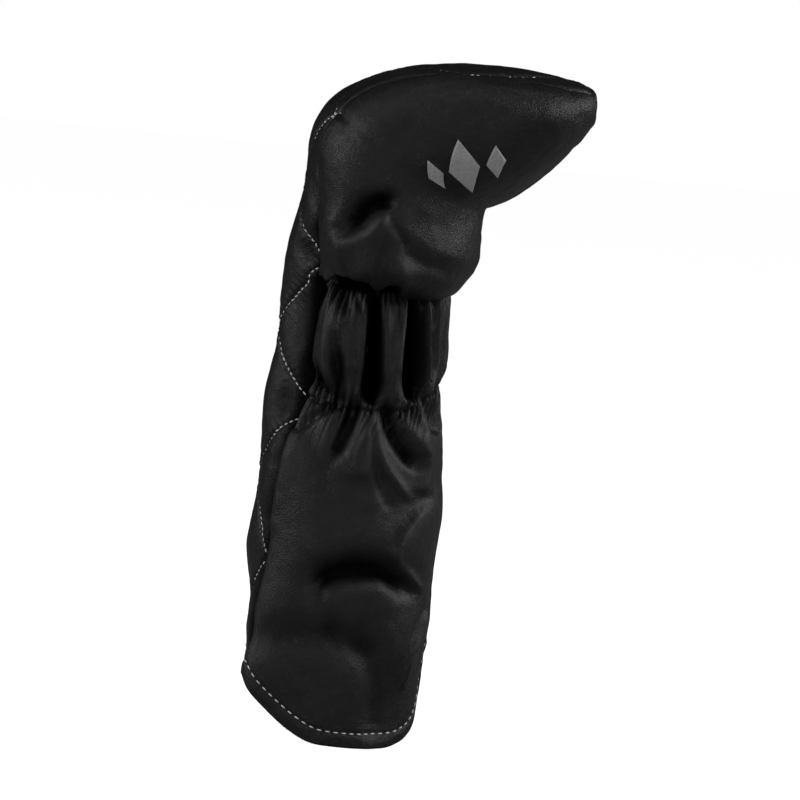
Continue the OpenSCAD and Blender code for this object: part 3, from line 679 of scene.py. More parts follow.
# %% [markdown]
# ## Relief of a sleeve panel
# A cloth simulation could draw in a flat pattern, but its folds would fall where chance puts them. So the
# swell between the elastics, the gathers, the seams, the hem and the strokes of the brush are added up as
# heights over the form. One grid holds them all, so the finer pieces further on can ask how high the
# leather lies at any place.

# %% Relief of a sleeve panel
SIDES = (("left", False), ("right", True))              # each side's name, and if it is the far one
SLEEVE_COLUMNS, SKIRT_ROWS, NECK_ROWS = 221, 180, 131
SKIRT_TOP, TUCK_TOP, TUCK_DEPTH, TUCK_RISE = NECK_BASE - 14, NECK_TOP + 15, 3, 4
# Painted shade under the collar: how deep a hollow it counts as, and where it starts and rises, in mm
TUCK_PAINTED_SHADE, TUCK_PAINTED_SHADE_DROP, TUCK_PAINTED_SHADE_RISE = 9, 1, 3
TUCK_SHADE = np.array([(0, 6), (0.17, 6), (0.22, 0), (1, 0)])
PLEAT_SWELL, PLEAT_FULLNESS = 7, 0.65
PLEAT_SHARE = np.array([
    (0, 0), (0.04, 0.1), (0.08, 0.42), (0.12, 0.7), (0.17, 0.89), (0.26, 1), (0.35, 0.89), (0.4, 0.71),
    (0.44, 0.45), (0.47, 0.3), (0.5, 0.45), (0.53, 0.82), (0.57, 1), (0.61, 0.82), (0.64, 0.45),
    (0.69, 0.25), (0.74, 0.3), (0.775, 0.6), (0.8, 0.55), (0.84, 0.25), (0.87, 0.1), (0.905, 0.15),
    (0.945, 0.5), (0.98, 0.4), (1, 0.2)])
VALLEY_BASE, VALLEY_RISE, VALLEY_TOP, VALLEY_FALL = -2, 14, 2, 9
VALLEY_SHADE_BASE, VALLEY_SHADE_RISE = 1, 4
PINCH, PINCH_WIDTH, GROOVE, GROOVE_WIDTH = 1.5, 5, 1.2, 1.2
PUCKER, PUCKER_LENGTH, PUCKER_FADE, GATHER_SHADE = 4.0, 3.8, 6.5, 3.2
LOWER_TURN, UPPER_TURN = 0.4, 2.1
SLEEVE_WAVES = ((0.45, 34, 3), (0.10, 9, 5))
HEM_STITCH, HEM_GROOVE, HEM_GROOVE_WIDTH = 7, 0.5, 0.9
HEM_PUFF, HEM_PUFF_WIDTH, HEM_TURN, FAR_FROM_HEM = 0.35, 2.5, 1.2, 99
HEM_RIM = ((0.75, 0.4), (0.3, 0.6))                     # share of the leather inwards, mm downwards
HEM_INSIDE = (0.2, 0.9)                                 # mm upwards
RIM_ROWS = len(HEM_RIM)


def sleeve_side(far):
    """Outside of one sleeve panel, its relief, and what the pieces on it need."""
    shares = side_shares(SLEEVE_COLUMNS)
    hem = hem_level(shares) - HEM_TURN
    skirt = mix(hem, SKIRT_TOP, np.linspace(0, 1, SKIRT_ROWS)[:, None])
    neck = np.linspace(SKIRT_TOP, TUCK_TOP, NECK_ROWS + 1)[1:, None] + 0 * shares
    z = np.concatenate([skirt, neck])
    f = shares + 0 * z
    form, centre = sleeve_form(f, z)
    out = facing_out(form, centre)

    run = run_length(form, 1)
    to_lower, to_upper = np.abs(z - NECK_BASE), np.abs(z - NECK_TOP)
    height = np.clip((z - NECK_BASE) / NECK_HEIGHT, 0, 1)
    relief = PLEAT_SWELL * np.sin(np.pi * height) ** PLEAT_FULLNESS * np.maximum(at_share(PLEAT_SHARE, f), 0)
    gathers = 0 * z
    for away, turn in ((to_lower, LOWER_TURN), (to_upper, UPPER_TURN)):
        relief -= PINCH * bell(away / PINCH_WIDTH)
        gathers += PUCKER * puckers(run, PUCKER_LENGTH, turn + far) * np.exp(-away / PUCKER_FADE)
        gathers += DRAW * puckers(run, DRAW_LENGTH, 2 * turn + far) * np.exp(-away / DRAW_FADE)
    relief += (gathers - GROOVE * bell(to_lower / GROOVE_WIDTH)
               - TUCK_DEPTH * smooth((z - NECK_TOP) / TUCK_RISE))
    relief += seam_roll(run) + seam_roll(run[:, -1:] - run)
    relief += waves(form, SLEEVE_WAVES, far)
    to_hem = np.full_like(z, FAR_FROM_HEM)
    band = SKIRT_ROWS // 3
    to_hem[:band] = hem_distance(run[:band], z[:band], hem)
    relief += (HEM_PUFF * bell((to_hem - HEM_STITCH / 2) / HEM_PUFF_WIDTH)
               - HEM_GROOVE * bell((to_hem - HEM_STITCH) / HEM_GROOVE_WIDTH))

    swollen = form + out * relief[..., None]
    strokes, valleys = brush(swollen, SLEEVE_STROKES, far), brush(swollen, SLEEVE_CUTS, far, cut)
    below_top = smooth((NECK_TOP + VALLEY_TOP - z) / VALLEY_FALL)
    shaded = valleys * smooth((z - NECK_BASE - VALLEY_SHADE_BASE) / VALLEY_SHADE_RISE) * below_top
    hollows_for_shade = strokes + GATHER_SHADE * gathers + shaded
    drawn = smooth((z - NECK_BASE - VALLEY_BASE) / VALLEY_RISE) * below_top
    strokes = strokes + valleys * drawn
    outside = swollen + out * strokes[..., None]
    # Painted shade: the sleeve's top under the collar's edge is darkened as if it lay in a deep hollow
    under_collar = z - NECK_TOP - at_share(TUCK_SHADE, f) + TUCK_PAINTED_SHADE_DROP
    shade_under_collar = -TUCK_PAINTED_SHADE * smooth(under_collar / TUCK_PAINTED_SHADE_RISE)
    return dict(outside=outside, relief=relief + strokes, out=out, shares=shares, hem=hem, to_hem=to_hem,
                seam=(form[:, 0], centre[:, 0]),
                shade=fold_shade(np.minimum(hollows_for_shade, shade_under_collar), RIM_ROWS))


SLEEVES = {far: sleeve_side(far) for _, far in SIDES}
for side in SLEEVES.values():
    print("sleeve relief from", round(side["relief"].min(), 1), "to", round(side["relief"].max(), 1), "mm")

# %% [markdown]
# ## The sewn sleeve panels
# The hem's edge is rolled in and the seam's edge turned in, and the shell is closed.


def sleeve_row(f, z, side):
    """Row number of the sleeve's grid at a height above the hem."""
    hem = np.interp(f, side["shares"], side["hem"])
    skirt = (z - hem) / (SKIRT_TOP - hem) * (SKIRT_ROWS - 1)
    neck = SKIRT_ROWS - 1 + (z - SKIRT_TOP) / (TUCK_TOP - SKIRT_TOP) * NECK_ROWS
    return np.where(z < SKIRT_TOP, skirt, neck)


def side_column(f, side):
    return np.interp(f, side["shares"], np.arange(len(side["shares"])))


def sleeve_shell(side):
    """The panel with its hem turned in, and its inside."""
    outside, out = side["outside"], side["out"]
    down = unit(outside[0] - outside[2])
    rim = [outside[0] - out[0] * (share * LEATHER) + down * drop for share, drop in HEM_RIM]
    whole = np.concatenate([np.stack(rim), outside])
    inside = (whole - np.concatenate([np.repeat(out[:1], RIM_ROWS, 0), out]) * LEATHER)[::2, ::2]
    for row, rise in enumerate(HEM_INSIDE):
        inside[row] = outside[0, ::2] - out[0, ::2] * LEATHER - down[::2] * rise
    return turned_in(whole, inside, *side["seam"], RIM_ROWS)


for side, far in SIDES:
    outside, inside = sleeve_shell(SLEEVES[far])
    panel = add_piece(f"{side}_sleeve_leather", *shell(on_side(outside, far), on_side(inside, far)),
                      "smooth_leather", f"{side}_sleeve_panel", shade=SLEEVES[far]["shade"])

# %% [markdown]
# ## Head panels
# The two sides of the head are softly padded and smooth. Each is sewn to the strip along the crown and to
# the other side along the belly. It could be carved from a sphere, but a grid between the two rails has
# its first and last columns right on the seams, where puckers and shade are needed.

# %% Relief of a head panel
HEAD_COLUMNS, HEAD_ROWS, ROLL_ROWS = 221, 301, 6
ROLL_SWELL = np.array([(0, 0.5), (0.3, 2.0), (0.5, 3.5), (0.7, 4.0), (0.9, 3.0), (1, 2.0)])
COLLAR_LIFT = np.array([
    (0, 6), (0.1, 8), (0.16, 6.5), (0.2, 9), (0.24, 13), (0.32, 14), (0.37, 13), (0.415, 9), (0.44, 6),
    (0.465, 11), (0.51, 12), (0.54, 7), (0.57, 2), (0.62, 0), (1, 0)])
ROLL_FADE, ROLL_POWER = 16, 1.5
COLLAR_TURN, COLLAR_FADE, COLLAR_END, COLLAR_SPAN = 1, 9, 0.55, 0.15
CROWN_PUFF, CROWN_PLACE, CROWN_WIDTH = 1.3, 7, 8                # mm
CROWN_FROM, CROWN_GROWTH, CROWN_FALL = 0.2, 0.15, 0.2           # shares of the head's length
SEAM_PUCKER, SEAM_PUCKER_LENGTH, SEAM_PUCKER_FADE = 0.30, 6.5, 5
HEAD_WAVES = ((0.45, 36, 11), (0.10, 9, 13))
TIP_SHARE, TIP_SINK = 0.1, -1.4


def tip_fade(t):
    """Share of the relief that is left on the way to the tip of the nose, where all layers meet."""
    return smooth((1 - t) / TIP_SHARE)


def head_side(far):
    """Outside of one head panel, its relief, and what the pieces on it need."""
    shares, rows = side_shares(HEAD_COLUMNS), np.linspace(0, 1, HEAD_ROWS)
    t, f = mix(at_share(COLLAR_LIFT, shares) / HEAD_RATE, 1, rows[:, None]), shares + 0 * rows[:, None]
    form, centre = head_form(t, f)
    up = run_length(form, 0)
    out = facing_out(form, centre)
    out[-1] = out[-2].mean(0)

    run = run_length(form, 1)
    relief = at_share(ROLL_SWELL, f) * np.exp(-(up / ROLL_FADE) ** ROLL_POWER)
    relief += (DRAW * puckers(run, DRAW_LENGTH, COLLAR_TURN + far) * np.exp(-up / COLLAR_FADE)
               * smooth((COLLAR_END - f) / COLLAR_SPAN))
    relief += seam_roll(run) + seam_roll(run[:, -1:] - run)
    relief += (CROWN_PUFF * bell((run - CROWN_PLACE) / CROWN_WIDTH)
               * smooth((t - CROWN_FROM) / CROWN_GROWTH) * smooth((1 - t) / CROWN_FALL))
    relief += SEAM_PUCKER * puckers(up, SEAM_PUCKER_LENGTH, far) * np.exp(-run / SEAM_PUCKER_FADE)
    relief += waves(form, HEAD_WAVES, far)
    swollen = form + out * relief[..., None]
    strokes = brush(swollen, HEAD_STROKES, far)
    fade = tip_fade(t)
    relief = mix(TIP_SINK, relief + strokes, fade)
    outside = form + out * relief[..., None]
    return dict(outside=outside, relief=relief, out=out, shares=shares, seam=(form[:, 0], centre[:, 0]),
                shade=fold_shade(strokes * fade, ROLL_ROWS))


def head_row(t, f):
    """Row number of the head's grid at a share of its length."""
    edge = at_share(COLLAR_LIFT, f) / HEAD_RATE
    return (t - edge) / (1 - edge) * (HEAD_ROWS - 1)


HEADS = {far: head_side(far) for _, far in SIDES}
for side in HEADS.values():
    print("head relief from", round(side["relief"].min(), 1), "to", round(side["relief"].max(), 1), "mm")

# %% [markdown]
# ## The sewn head panels
# The panel's lower edge is doubled and rolls over the upper elastic, further at the front than at the
# back. A few more rows of points carry the roll round, and the edge at the strip is turned in as on the
# sleeve.

# %% The sewn head panels
ROLL_RADIUS = np.array([(0, 2.0), (0.3, 2.2), (0.5, 3.2), (0.7, 4.2), (1, 4.2)])
ROLL_LEAN, ROLL_EASE_ROWS = 1.6, 4


def head_shell(side):
    """The panel with its lower edge rolled in, and its inside."""
    outside, out = side["outside"], side["out"]
    down = unit(outside[0] - outside[3])
    radius = at_share(ROLL_RADIUS, side["shares"])[:, None]
    angles = np.linspace(np.pi, 0, ROLL_ROWS + 1)[:-1]
    roll = [outside[0] - out[0] * radius * (1 - np.cos(a)) + down * radius * np.sin(a) for a in angles]
    whole = np.concatenate([np.stack(roll), outside])
    normals = np.concatenate([np.stack([out[0]] * ROLL_ROWS), out])
    inside = (whole - normals * LEATHER)[::2, ::2]
    for i in range(ROLL_ROWS // 2):
        inside[i] = (outside[ROLL_ROWS - 2 * i] - out[0] * (2 * radius + LEATHER))[::2]
    lean = np.linspace(ROLL_LEAN, 0, ROLL_ROWS // 2 + ROLL_EASE_ROWS)[:, None, None]
    inside[ROLL_ROWS // 2:ROLL_ROWS + ROLL_EASE_ROWS] -= (out[0] * radius)[::2] * lean
    return turned_in(whole, inside, *side["seam"], ROLL_ROWS)


for side, far in SIDES:
    outside, inside = head_shell(HEADS[far])
    panel = add_piece(f"{side}_head_leather", *shell(on_side(outside, far), on_side(inside, far)),
                      "smooth_leather", f"{side}_head_panel", shade=HEADS[far]["shade"])

# %% [markdown]
# ## Quilted strip
# One long strip of leather over wadding runs from the hem up the back, over the crown and out to the
# nose. Two sets of slanting seams cross on it and press it into diamonds. The leather swells between the
# seams and puckers along them, a little at every stitch. A picture of quilting could be laid on as a
# bump, but only real swell shows at the outline and gives the thread a groove to lie in.

# %% Quilting
STITCH_PITCH = 3.4
LINE_GROOVE, LINE_WIDTH, LINE_PUCKER, LINE_FADE = 0.9, 1.1, 0.28, 3.5
EASE_PASSES = 60
HEAD_STRETCHES = (71, 107.6, 65.5)      # mm up the back of the head, over its shoulder and out to the nose
HEAD_LENGTHS = np.concatenate([[0], np.cumsum(HEAD_STRETCHES)])
HEAD_SHARES = np.array([0, BACK_SHARE, SHOULDER_SHARE, 1])
ACROSS, ALONG = 2 / DIAMOND_WIDTH, 2 / DIAMOND_LENGTH
STEEP = np.hypot(ACROSS, ALONG)


def strip_grid(across, sleeve_rows, head_rows):
    """Form of the strip over the sleeve and the head, its sections' centres, half widths and lengths."""
    z, t = np.linspace(HEM_BACK, NECK_TOP, sleeve_rows), np.linspace(0, 1, head_rows)[1:]
    lower, upper = sleeve_section(z[:, None] + 0 * across), head_section(t[:, None] + 0 * across)
    wide = np.concatenate([half_strip(*s[2:4]) for s in (lower, upper)])
    form = np.concatenate([strip_point(s, across + 0 * s[2]) for s in (lower, upper)])
    centre = np.concatenate([section_centre(lower), head_centre(t[:, None] + 0 * across)])
    length = np.concatenate([z - HEM_BACK, NECK_TOP - HEM_BACK + np.interp(t, HEAD_SHARES, HEAD_LENGTHS)])
    return form, centre, wide, length


def quilting(x, length):
    """Swell of the diamonds at a place in mm, with the grooves and puckers of the stitched lines."""
    across, along = x * ACROSS, (length + DIAMOND_SHIFT) * ALONG
    pillow = np.sqrt(np.abs(np.cos(np.pi / 2 * (across + along)) * np.cos(np.pi / 2 * (across - along))))
    relief = QUILT_SWELL * pillow
    for way in (1, -1):
        phase = across * way + along
        away = np.abs(phase % 2 - 1) / STEEP
        on_line = (x * ALONG * way - length * ACROSS) / STEEP
        relief -= LINE_GROOVE * bell(away / LINE_WIDTH)
        relief += LINE_PUCKER * np.cos(2 * np.pi * on_line / STITCH_PITCH) * np.exp(-away / LINE_FADE)
    return relief


def eased(grid, length, place, reach):
    """Grid smoothed along its columns near one length, where the strip runs on evenly past the collar."""
    near = bell((length - place) / reach)[:, None, None]
    for _ in range(EASE_PASSES):
        wide = np.concatenate([grid[:1], grid, grid[-1:]])
        grid = mix(grid, (wide[:-2] + wide[2:]) / 2, near)
    return grid


print("diamonds", DIAMOND_WIDTH, "mm wide and", DIAMOND_LENGTH, "mm long")

# %% [markdown]
# ## Relief of the strip
# The strip runs on evenly past the collar, so its form is eased there. The quilting, the rolled edges,
# slow waves and the hollows of the brush are then added up over it, as on the panels. The shade along its
# edges is wider on the back than on the crown.

# %% Relief of the strip
STRIP_COLUMNS, STRIP_SLEEVE_ROWS, STRIP_HEAD_ROWS, EASE_REACH = 121, 261, 301, 16
STRIP_EDGE, STRIP_EDGE_WIDTH, EDGE_POWER = 2.2, 2.6, 8
CROWN_SINK, CROWN_LENGTH, CROWN_REACHED = 0.4, 250, 40              # mm, the last two along the strip
EDGE_SHADE, CROWN_EDGE_SHADE, CROWN_SHADE_LENGTH = 6, 2, 215
STRIP_SHADE_START, STRIP_SHADE_SPAN = 0.4, 3.5
STRIP_WAVES = ((0.5, 40, 21), (0.10, 9, 22))
strip_across = np.linspace(-1, 1, STRIP_COLUMNS)
strip_form, strip_centre, strip_wide, strip_length = strip_grid(
    strip_across, STRIP_SLEEVE_ROWS, STRIP_HEAD_ROWS)
strip_share = np.interp(strip_length - (NECK_TOP - HEM_BACK), HEAD_LENGTHS, HEAD_SHARES)
strip_form = eased(strip_form, strip_length, NECK_TOP - HEM_BACK, EASE_REACH)
strip_out = facing_out(strip_form, strip_centre)
strip_out[-1] = strip_out[-2].mean(0)
edge = (1 - np.abs(strip_across)) * strip_wide
strip_relief = quilting(strip_across * strip_wide, strip_length[:, None])
strip_relief *= 1 - np.abs(strip_across) ** EDGE_POWER
strip_relief -= STRIP_EDGE * bell(edge / STRIP_EDGE_WIDTH)
strip_relief += waves(strip_form, STRIP_WAVES)
strip_relief -= CROWN_SINK * smooth((strip_length - CROWN_LENGTH) / CROWN_REACHED)[:, None]
one_half = strip_form.copy()
one_half[..., 1] = np.abs(one_half[..., 1])
strip_strokes = brush(one_half, STRIP_STROKES, False)
strip_relief = mix(TIP_SINK, strip_relief + strip_strokes, tip_fade(strip_share)[:, None])
strip_outside = strip_form + strip_out * strip_relief[..., None]
strip_inside = (strip_outside - strip_out * LEATHER)[::2, ::2]
on_crown = smooth((strip_length - CROWN_SHADE_LENGTH) / CROWN_REACHED)[:, None]
shade_width = mix(EDGE_SHADE, CROWN_EDGE_SHADE, on_crown)
hollow_shade = smooth((-strip_strokes - STRIP_SHADE_START) / STRIP_SHADE_SPAN)
edge_shade = np.maximum(bell(edge / shade_width), hollow_shade)
print("strip", round(strip_length[-1]), "mm long, swell up to", round(strip_relief.max(), 1), "mm")

# %% [markdown]
# ## The sewn strip
# Both edges of the strip are turned in. The same function does one edge after the other, with the grids
# turned over between. At the tip of the nose the last row of each face is drawn together to one point.

# %% The sewn strip
strip_grids = strip_outside, strip_inside
for _ in range(2):
    strip_grids = turned_in(*strip_grids, strip_form[:, 0], strip_centre[:, 0])
    strip_grids = [grid[:, ::-1] for grid in strip_grids]
    strip_form, strip_centre = strip_form[:, ::-1], strip_centre[:, ::-1]
for grid in strip_grids:
    grid[-1] = grid[-1, grid.shape[1] // 2]
edge_shade = np.pad(edge_shade, ((0, 0), (2, 2)), constant_values=1)
strip = add_piece("strip_leather", *shell(*strip_grids), "quilted_leather", "quilted_strip",
                  shade=np.concatenate([edge_shade.ravel(), 0 * edge_shade[::2, ::2].ravel()]))

# %% [markdown]
# ## Layers under the leather
# Padding, lining and tapes lie under the leather. They could be copies of it moved inwards, but every
# small pucker would then be copied too. So they lie at an even depth under the form, give way wherever a
# fold presses in, and lie deeper beside the seams, where the leather's edges are turned in.

# %% Layers under the leather
SEAM_ROOM, FRONT_ROOM = 7.0, 0.4                        # mm, and share of it at the front seam
SEAM_SHARE, STRIP_SEAM_SHARE, FRONT_SEAM_SHARE = 0.13, 0.14, 0.05
PRESS_SHARE, PANEL_SPREAD, STRIP_SPREAD = 1.15, 8, 2    # how much more a layer gives way, and how far round


def by_seam(f):
    """How much deeper a layer lies beside the seams, in mm, to leave room for the turned edges."""
    return SEAM_ROOM * (bell(f / SEAM_SHARE) + FRONT_ROOM * bell((1 - f) / FRONT_SEAM_SHARE))


def by_strip_seam(a):
    return SEAM_ROOM * bell((1 - np.abs(a)) / STRIP_SEAM_SHARE)


def layer(points, centre, depth, thickness):
    """Shell of an even thickness at a depth under the form."""
    return shell(sink(points, centre, depth), sink(points, centre, depth + thickness)[::2, ::2])


def neighbours(grid):
    """A grid shifted by one point all ways, and as it is."""
    wide = np.pad(grid, 1, mode="edge")
    return [wide[i:i + grid.shape[0], j:j + grid.shape[1]] for i in range(3) for j in range(3)]


def press(relief, spread):
    """How far folds press a layer in, in mm, over a grid: widened by some points and smoothed."""
    deep = np.maximum(-relief, 0) * PRESS_SHARE
    for _ in range(spread):
        deep = np.max(neighbours(deep), axis=0)
    for _ in range(spread):
        deep = np.mean(neighbours(deep), axis=0)
    return deep


STRIP_PRESS = press(strip_relief, STRIP_SPREAD)
for side in (*HEADS.values(), *SLEEVES.values()):
    side["press"] = press(side["relief"], PANEL_SPREAD)


def head_press(side, t, f):
    return sample(side["press"], head_row(t, f), side_column(f, side))


def sleeve_press(side, f, z):
    return sample(side["press"], sleeve_row(f, z, side), side_column(f, side))


def strip_press(a, length):
    row = np.interp(length, strip_length, np.arange(len(strip_length)))
    return sample(STRIP_PRESS, row, (a + 1) / 2 * (STRIP_COLUMNS - 1))


deepest = max(side["press"].max() for side in SLEEVES.values())
print("folds press the sleeve's layers in by up to", round(deepest, 1), "mm")

# %% [markdown]
# ## Padding and wadding
# Thin foam behind each head panel and wadding behind the strip give the cover its soft, full look. Nobody
# sees them, so plain layers short of the seams are enough.

# %% Padding and wadding
PAD_ROWS, PAD_COLUMNS, WAD_ROWS, WAD_COLUMNS = 121, 81, 201, 41
PAD_START, PAD_END, PAD_FRONT = 0.1, 0.92, 0.96         # shares of the head's length and of its side
PAD_EDGE, PAD_NOSE_EDGE, PAD_NARROWS, PAD_NARROW_SPAN = 0.05, 0.18, 0.5, 0.3
WAD_EDGE, WAD_KEPT = 0.92, slice(10, -16)               # the rows short of the hem and of the nose
for side, far in SIDES:
    t = np.linspace(PAD_START, PAD_END, PAD_ROWS)[:, None] + np.zeros(PAD_COLUMNS)
    edge = mix(PAD_EDGE, PAD_NOSE_EDGE, smooth((t - PAD_NARROWS) / PAD_NARROW_SPAN))
    f = mix(edge, PAD_FRONT, np.linspace(0, 1, PAD_COLUMNS))
    depth = PAD_DEPTH + head_press(HEADS[far], t, f) + by_seam(f)
    points, faces = layer(*head_form(t, f), depth, PADDING)
    pad = add_piece(f"{side}_head_foam", on_side(points, far), faces, "padding", f"{side}_head_padding")

wad_across = np.linspace(-WAD_EDGE, WAD_EDGE, WAD_COLUMNS)
wad_form, wad_centre, _, wad_length = strip_grid(wad_across, WAD_ROWS // 2, WAD_ROWS // 2 + 2)
wad_pressed = strip_press(wad_across + 0 * wad_length[:, None], wad_length[:, None] + 0 * wad_across)
wad_depth = PAD_DEPTH + wad_pressed + by_strip_seam(wad_across)
points, faces = layer(wad_form[WAD_KEPT], wad_centre[WAD_KEPT], wad_depth[WAD_KEPT], PADDING)
wadding = add_piece("strip_batting", points, faces, "padding", "strip_wadding")

# %% [markdown]
# ## Plush lining
# Pale plush lines the whole cover, in a left and a right half for the head and for the sleeve. Its cut
# edge hangs a little below the hem, so a band of pile shows there. Hair particles would give every fibre
# and a very heavy mesh, all of it hidden but the edge. So each half is a plain layer from the middle of
# the strip to the front seam, and a fine ripple stands for the pile.

# %% Plush lining
LINING_STRIP, LINING_SIDE, LINING_ROWS, LINING_TIP, COLLAR_TUCK = 24, 97, 121, 0.985, 10
LINING_DROP = np.array([
    (0, 1.2), (0.1, 2.2), (0.25, 3.0), (0.4, 2.4), (0.55, 0.8), (0.7, 0.2), (0.85, 0.0), (1, 0)])
LINING_START, DROP_POWER, TUCK_SHARE = 0.07, 12, 0.09
STRIP_REACH, SIDE_START = 0.97, 0.02                    # shares of the half strip and of a side
NAP_WAVES = ((0.45, 6, 31), (0.3, 3.2, 32))
SLEEVE_LINING_CUT, SLEEVE_LINING_AREA = (0.175, 0.284), 0.036       # metres, both cut to a curve
HEAD_LINING_CUT, HEAD_LINING_AREA = (0.178, 0.251), 0.025
lining_a = np.linspace(0, STRIP_REACH, LINING_STRIP)
lining_f = np.linspace(SIDE_START, 1, LINING_SIDE)
lining_room = np.concatenate([by_strip_seam(lining_a), by_seam(lining_f)])


def plush(points, centre, depth):
    """Shell of pile: its outside is even and its inside is rough."""
    nap = waves(points, NAP_WAVES)
    return shell(sink(points, centre, depth), sink(points, centre, depth + LINING + nap)[::2, ::2])


def sleeve_ring(far, v):
    """Form and depth of the sleeve's lining at shares v of the way from the hem to the neck's top."""
    z_strip, z_side = mix(HEM_BACK, NECK_TOP, v), mix(hem_level(lining_f), NECK_TOP, v)
    drop = (1 - v) ** DROP_POWER
    strip_z = z_strip + 0 * lining_a - at_share(LINING_DROP, 0 * lining_a) * drop
    side_z = z_side - at_share(LINING_DROP, lining_f) * drop
    over, (beside, core) = sleeve_section(strip_z), sleeve_form(lining_f + 0 * side_z, side_z)
    form = np.concatenate([strip_point(over, lining_a + 0 * strip_z), beside], 1)
    centre = np.concatenate([section_centre(over), core], 1)
    depth = np.concatenate([strip_press(lining_a + 0 * strip_z, strip_z - HEM_BACK),
                            sleeve_press(SLEEVES[far], lining_f + 0 * side_z, side_z)], 1)
    return form, centre, depth + LINING_DEPTH + lining_room


def head_ring(far, t):
    """The same for the head's lining, at shares t of the way from the collar to the nose."""
    beside, core = head_form(t + 0 * lining_f, lining_f + 0 * t)
    form = np.concatenate([strip_point(head_section(t + 0 * lining_a), lining_a + 0 * t), beside], 1)
    length = NECK_TOP - HEM_BACK + np.interp(t, HEAD_SHARES, HEAD_LENGTHS)
    depth = np.concatenate([strip_press(lining_a + 0 * t, length + 0 * lining_a),
                            head_press(HEADS[far], t + 0 * lining_f, lining_f + 0 * t)], 1)
    centre = np.concatenate([head_centre(t + 0 * lining_a), core], 1)
    return form, centre, depth + LINING_DEPTH + lining_room + COLLAR_TUCK * bell(t / TUCK_SHARE)


LININGS = (
    ("sleeve", sleeve_ring, (0, 1), SLEEVE_LINING_CUT, SLEEVE_LINING_AREA, "sleeve_panel"),
    ("head", head_ring, (LINING_START, LINING_TIP), HEAD_LINING_CUT, HEAD_LINING_AREA, "head_padding"))
rows = np.linspace(0, 1, LINING_ROWS)[:, None]
for side, far in SIDES:
    for part, ring, ends, cut_size, cut_area, backing in LININGS:
        points, faces = plush(*ring(far, mix(*ends, rows)))
        lining = add_piece(f"{side}_{part}_plush", on_side(points, far), faces,
                           "plush_lining", f"{side}_{part}_lining")

# %% [markdown]
# ## Elastics
# Two pale elastic tapes are sewn inside the neck, from near one edge of the strip round the front to near
# the other. A Curve with a flat profile could be a tape too, but a layer of the form follows the line
# that it gathers.

# %% Elastics
TAPE_COLUMNS, TAPE_ROWS, TAPE_END = 161, 9, 0.08


def tape(low):
    """Shell of a tape inside both sleeve panels, lying along the line that it gathers."""
    place = np.linspace(-1, 1, TAPE_COLUMNS)
    f = np.maximum(1 - np.abs(place), TAPE_END) + np.zeros((TAPE_ROWS, 1))
    z = np.linspace(low, low + ELASTIC_WIDTH, TAPE_ROWS)[:, None] + 0 * f
    pressed = np.max([sleeve_press(side, f, z) for side in SLEEVES.values()], axis=0)
    form, centre = sleeve_form(f, z)
    mirror = np.where((place < 0)[:, None], (1, -1, 1), 1)
    return layer(form * mirror, centre, PAD_DEPTH + pressed + by_seam(f), ELASTIC)


for end, low in (("upper", NECK_TOP - ELASTIC_WIDTH), ("lower", NECK_BASE - ELASTIC_WIDTH / 2)):
    band = add_piece(f"{end}_tape", *tape(low), "elastic_tape", f"{end}_elastic")

# %% [markdown]
# ## Hem facing
# The hem has a leather facing inside, in three lengths, one for each side and one for the strip. The row
# of topstitching catches it. It is hidden, so it is a plain layer too.

# %% Hem facing
FACING_COLUMNS, FACING_STRIP_COLUMNS, FACING_ROWS, FACING_GAP = 161, 41, 9, 0.6
up = np.linspace(FACING_GAP, FACING_HEIGHT, FACING_ROWS)[:, None]
lengths = []
for _, far in SIDES:
    f = side_shares(FACING_COLUMNS) + 0 * up
    z = hem_level(f) + up
    depth = PAD_DEPTH + sleeve_press(SLEEVES[far], f, z)
    points, faces = layer(*sleeve_form(f, z), depth, LEATHER)
    lengths.append((on_side(points, far), faces))
a = np.linspace(-STRIP_REACH, STRIP_REACH, FACING_STRIP_COLUMNS) + 0 * up
section = sleeve_section(HEM_BACK + up + 0 * a)
depth = PAD_DEPTH + strip_press(a, up + 0 * a)
lengths.append(layer(strip_point(section, a), section_centre(section), depth, LEATHER))
facing = add_piece("hem_turning", *joined(lengths), "smooth_leather", "hem_facing")

# %% [markdown]
# ## Felt emblem
# Three lozenges of grey felt are sewn to the left side of the head. A flat plate pressed on with a
# Shrinkwrap modifier would do, but each is a small grid laid on the panel's own points, so it bends with
# every fold, with a soft edge.

# %% Felt emblem
LOZENGE_HEIGHT, LOZENGE_WIDTH, OUTER_SHARE, LOZENGE_GAP = 28, 16, 0.6, 3
EMBLEM_SHARE, EMBLEM_LENGTH, EMBLEM_TILT, EMBLEM_STEP = 0.61, 0.49, np.radians(20), 0.01
LOZENGE_POINTS, FELT_EDGE_POWER, FELT_SINK = 41, 20, 0.4
FELT_WAVES = ((0.05, 1.5, 41),)


def form_at(t, f):
    return head_form(np.array(t), np.array(f))[0]


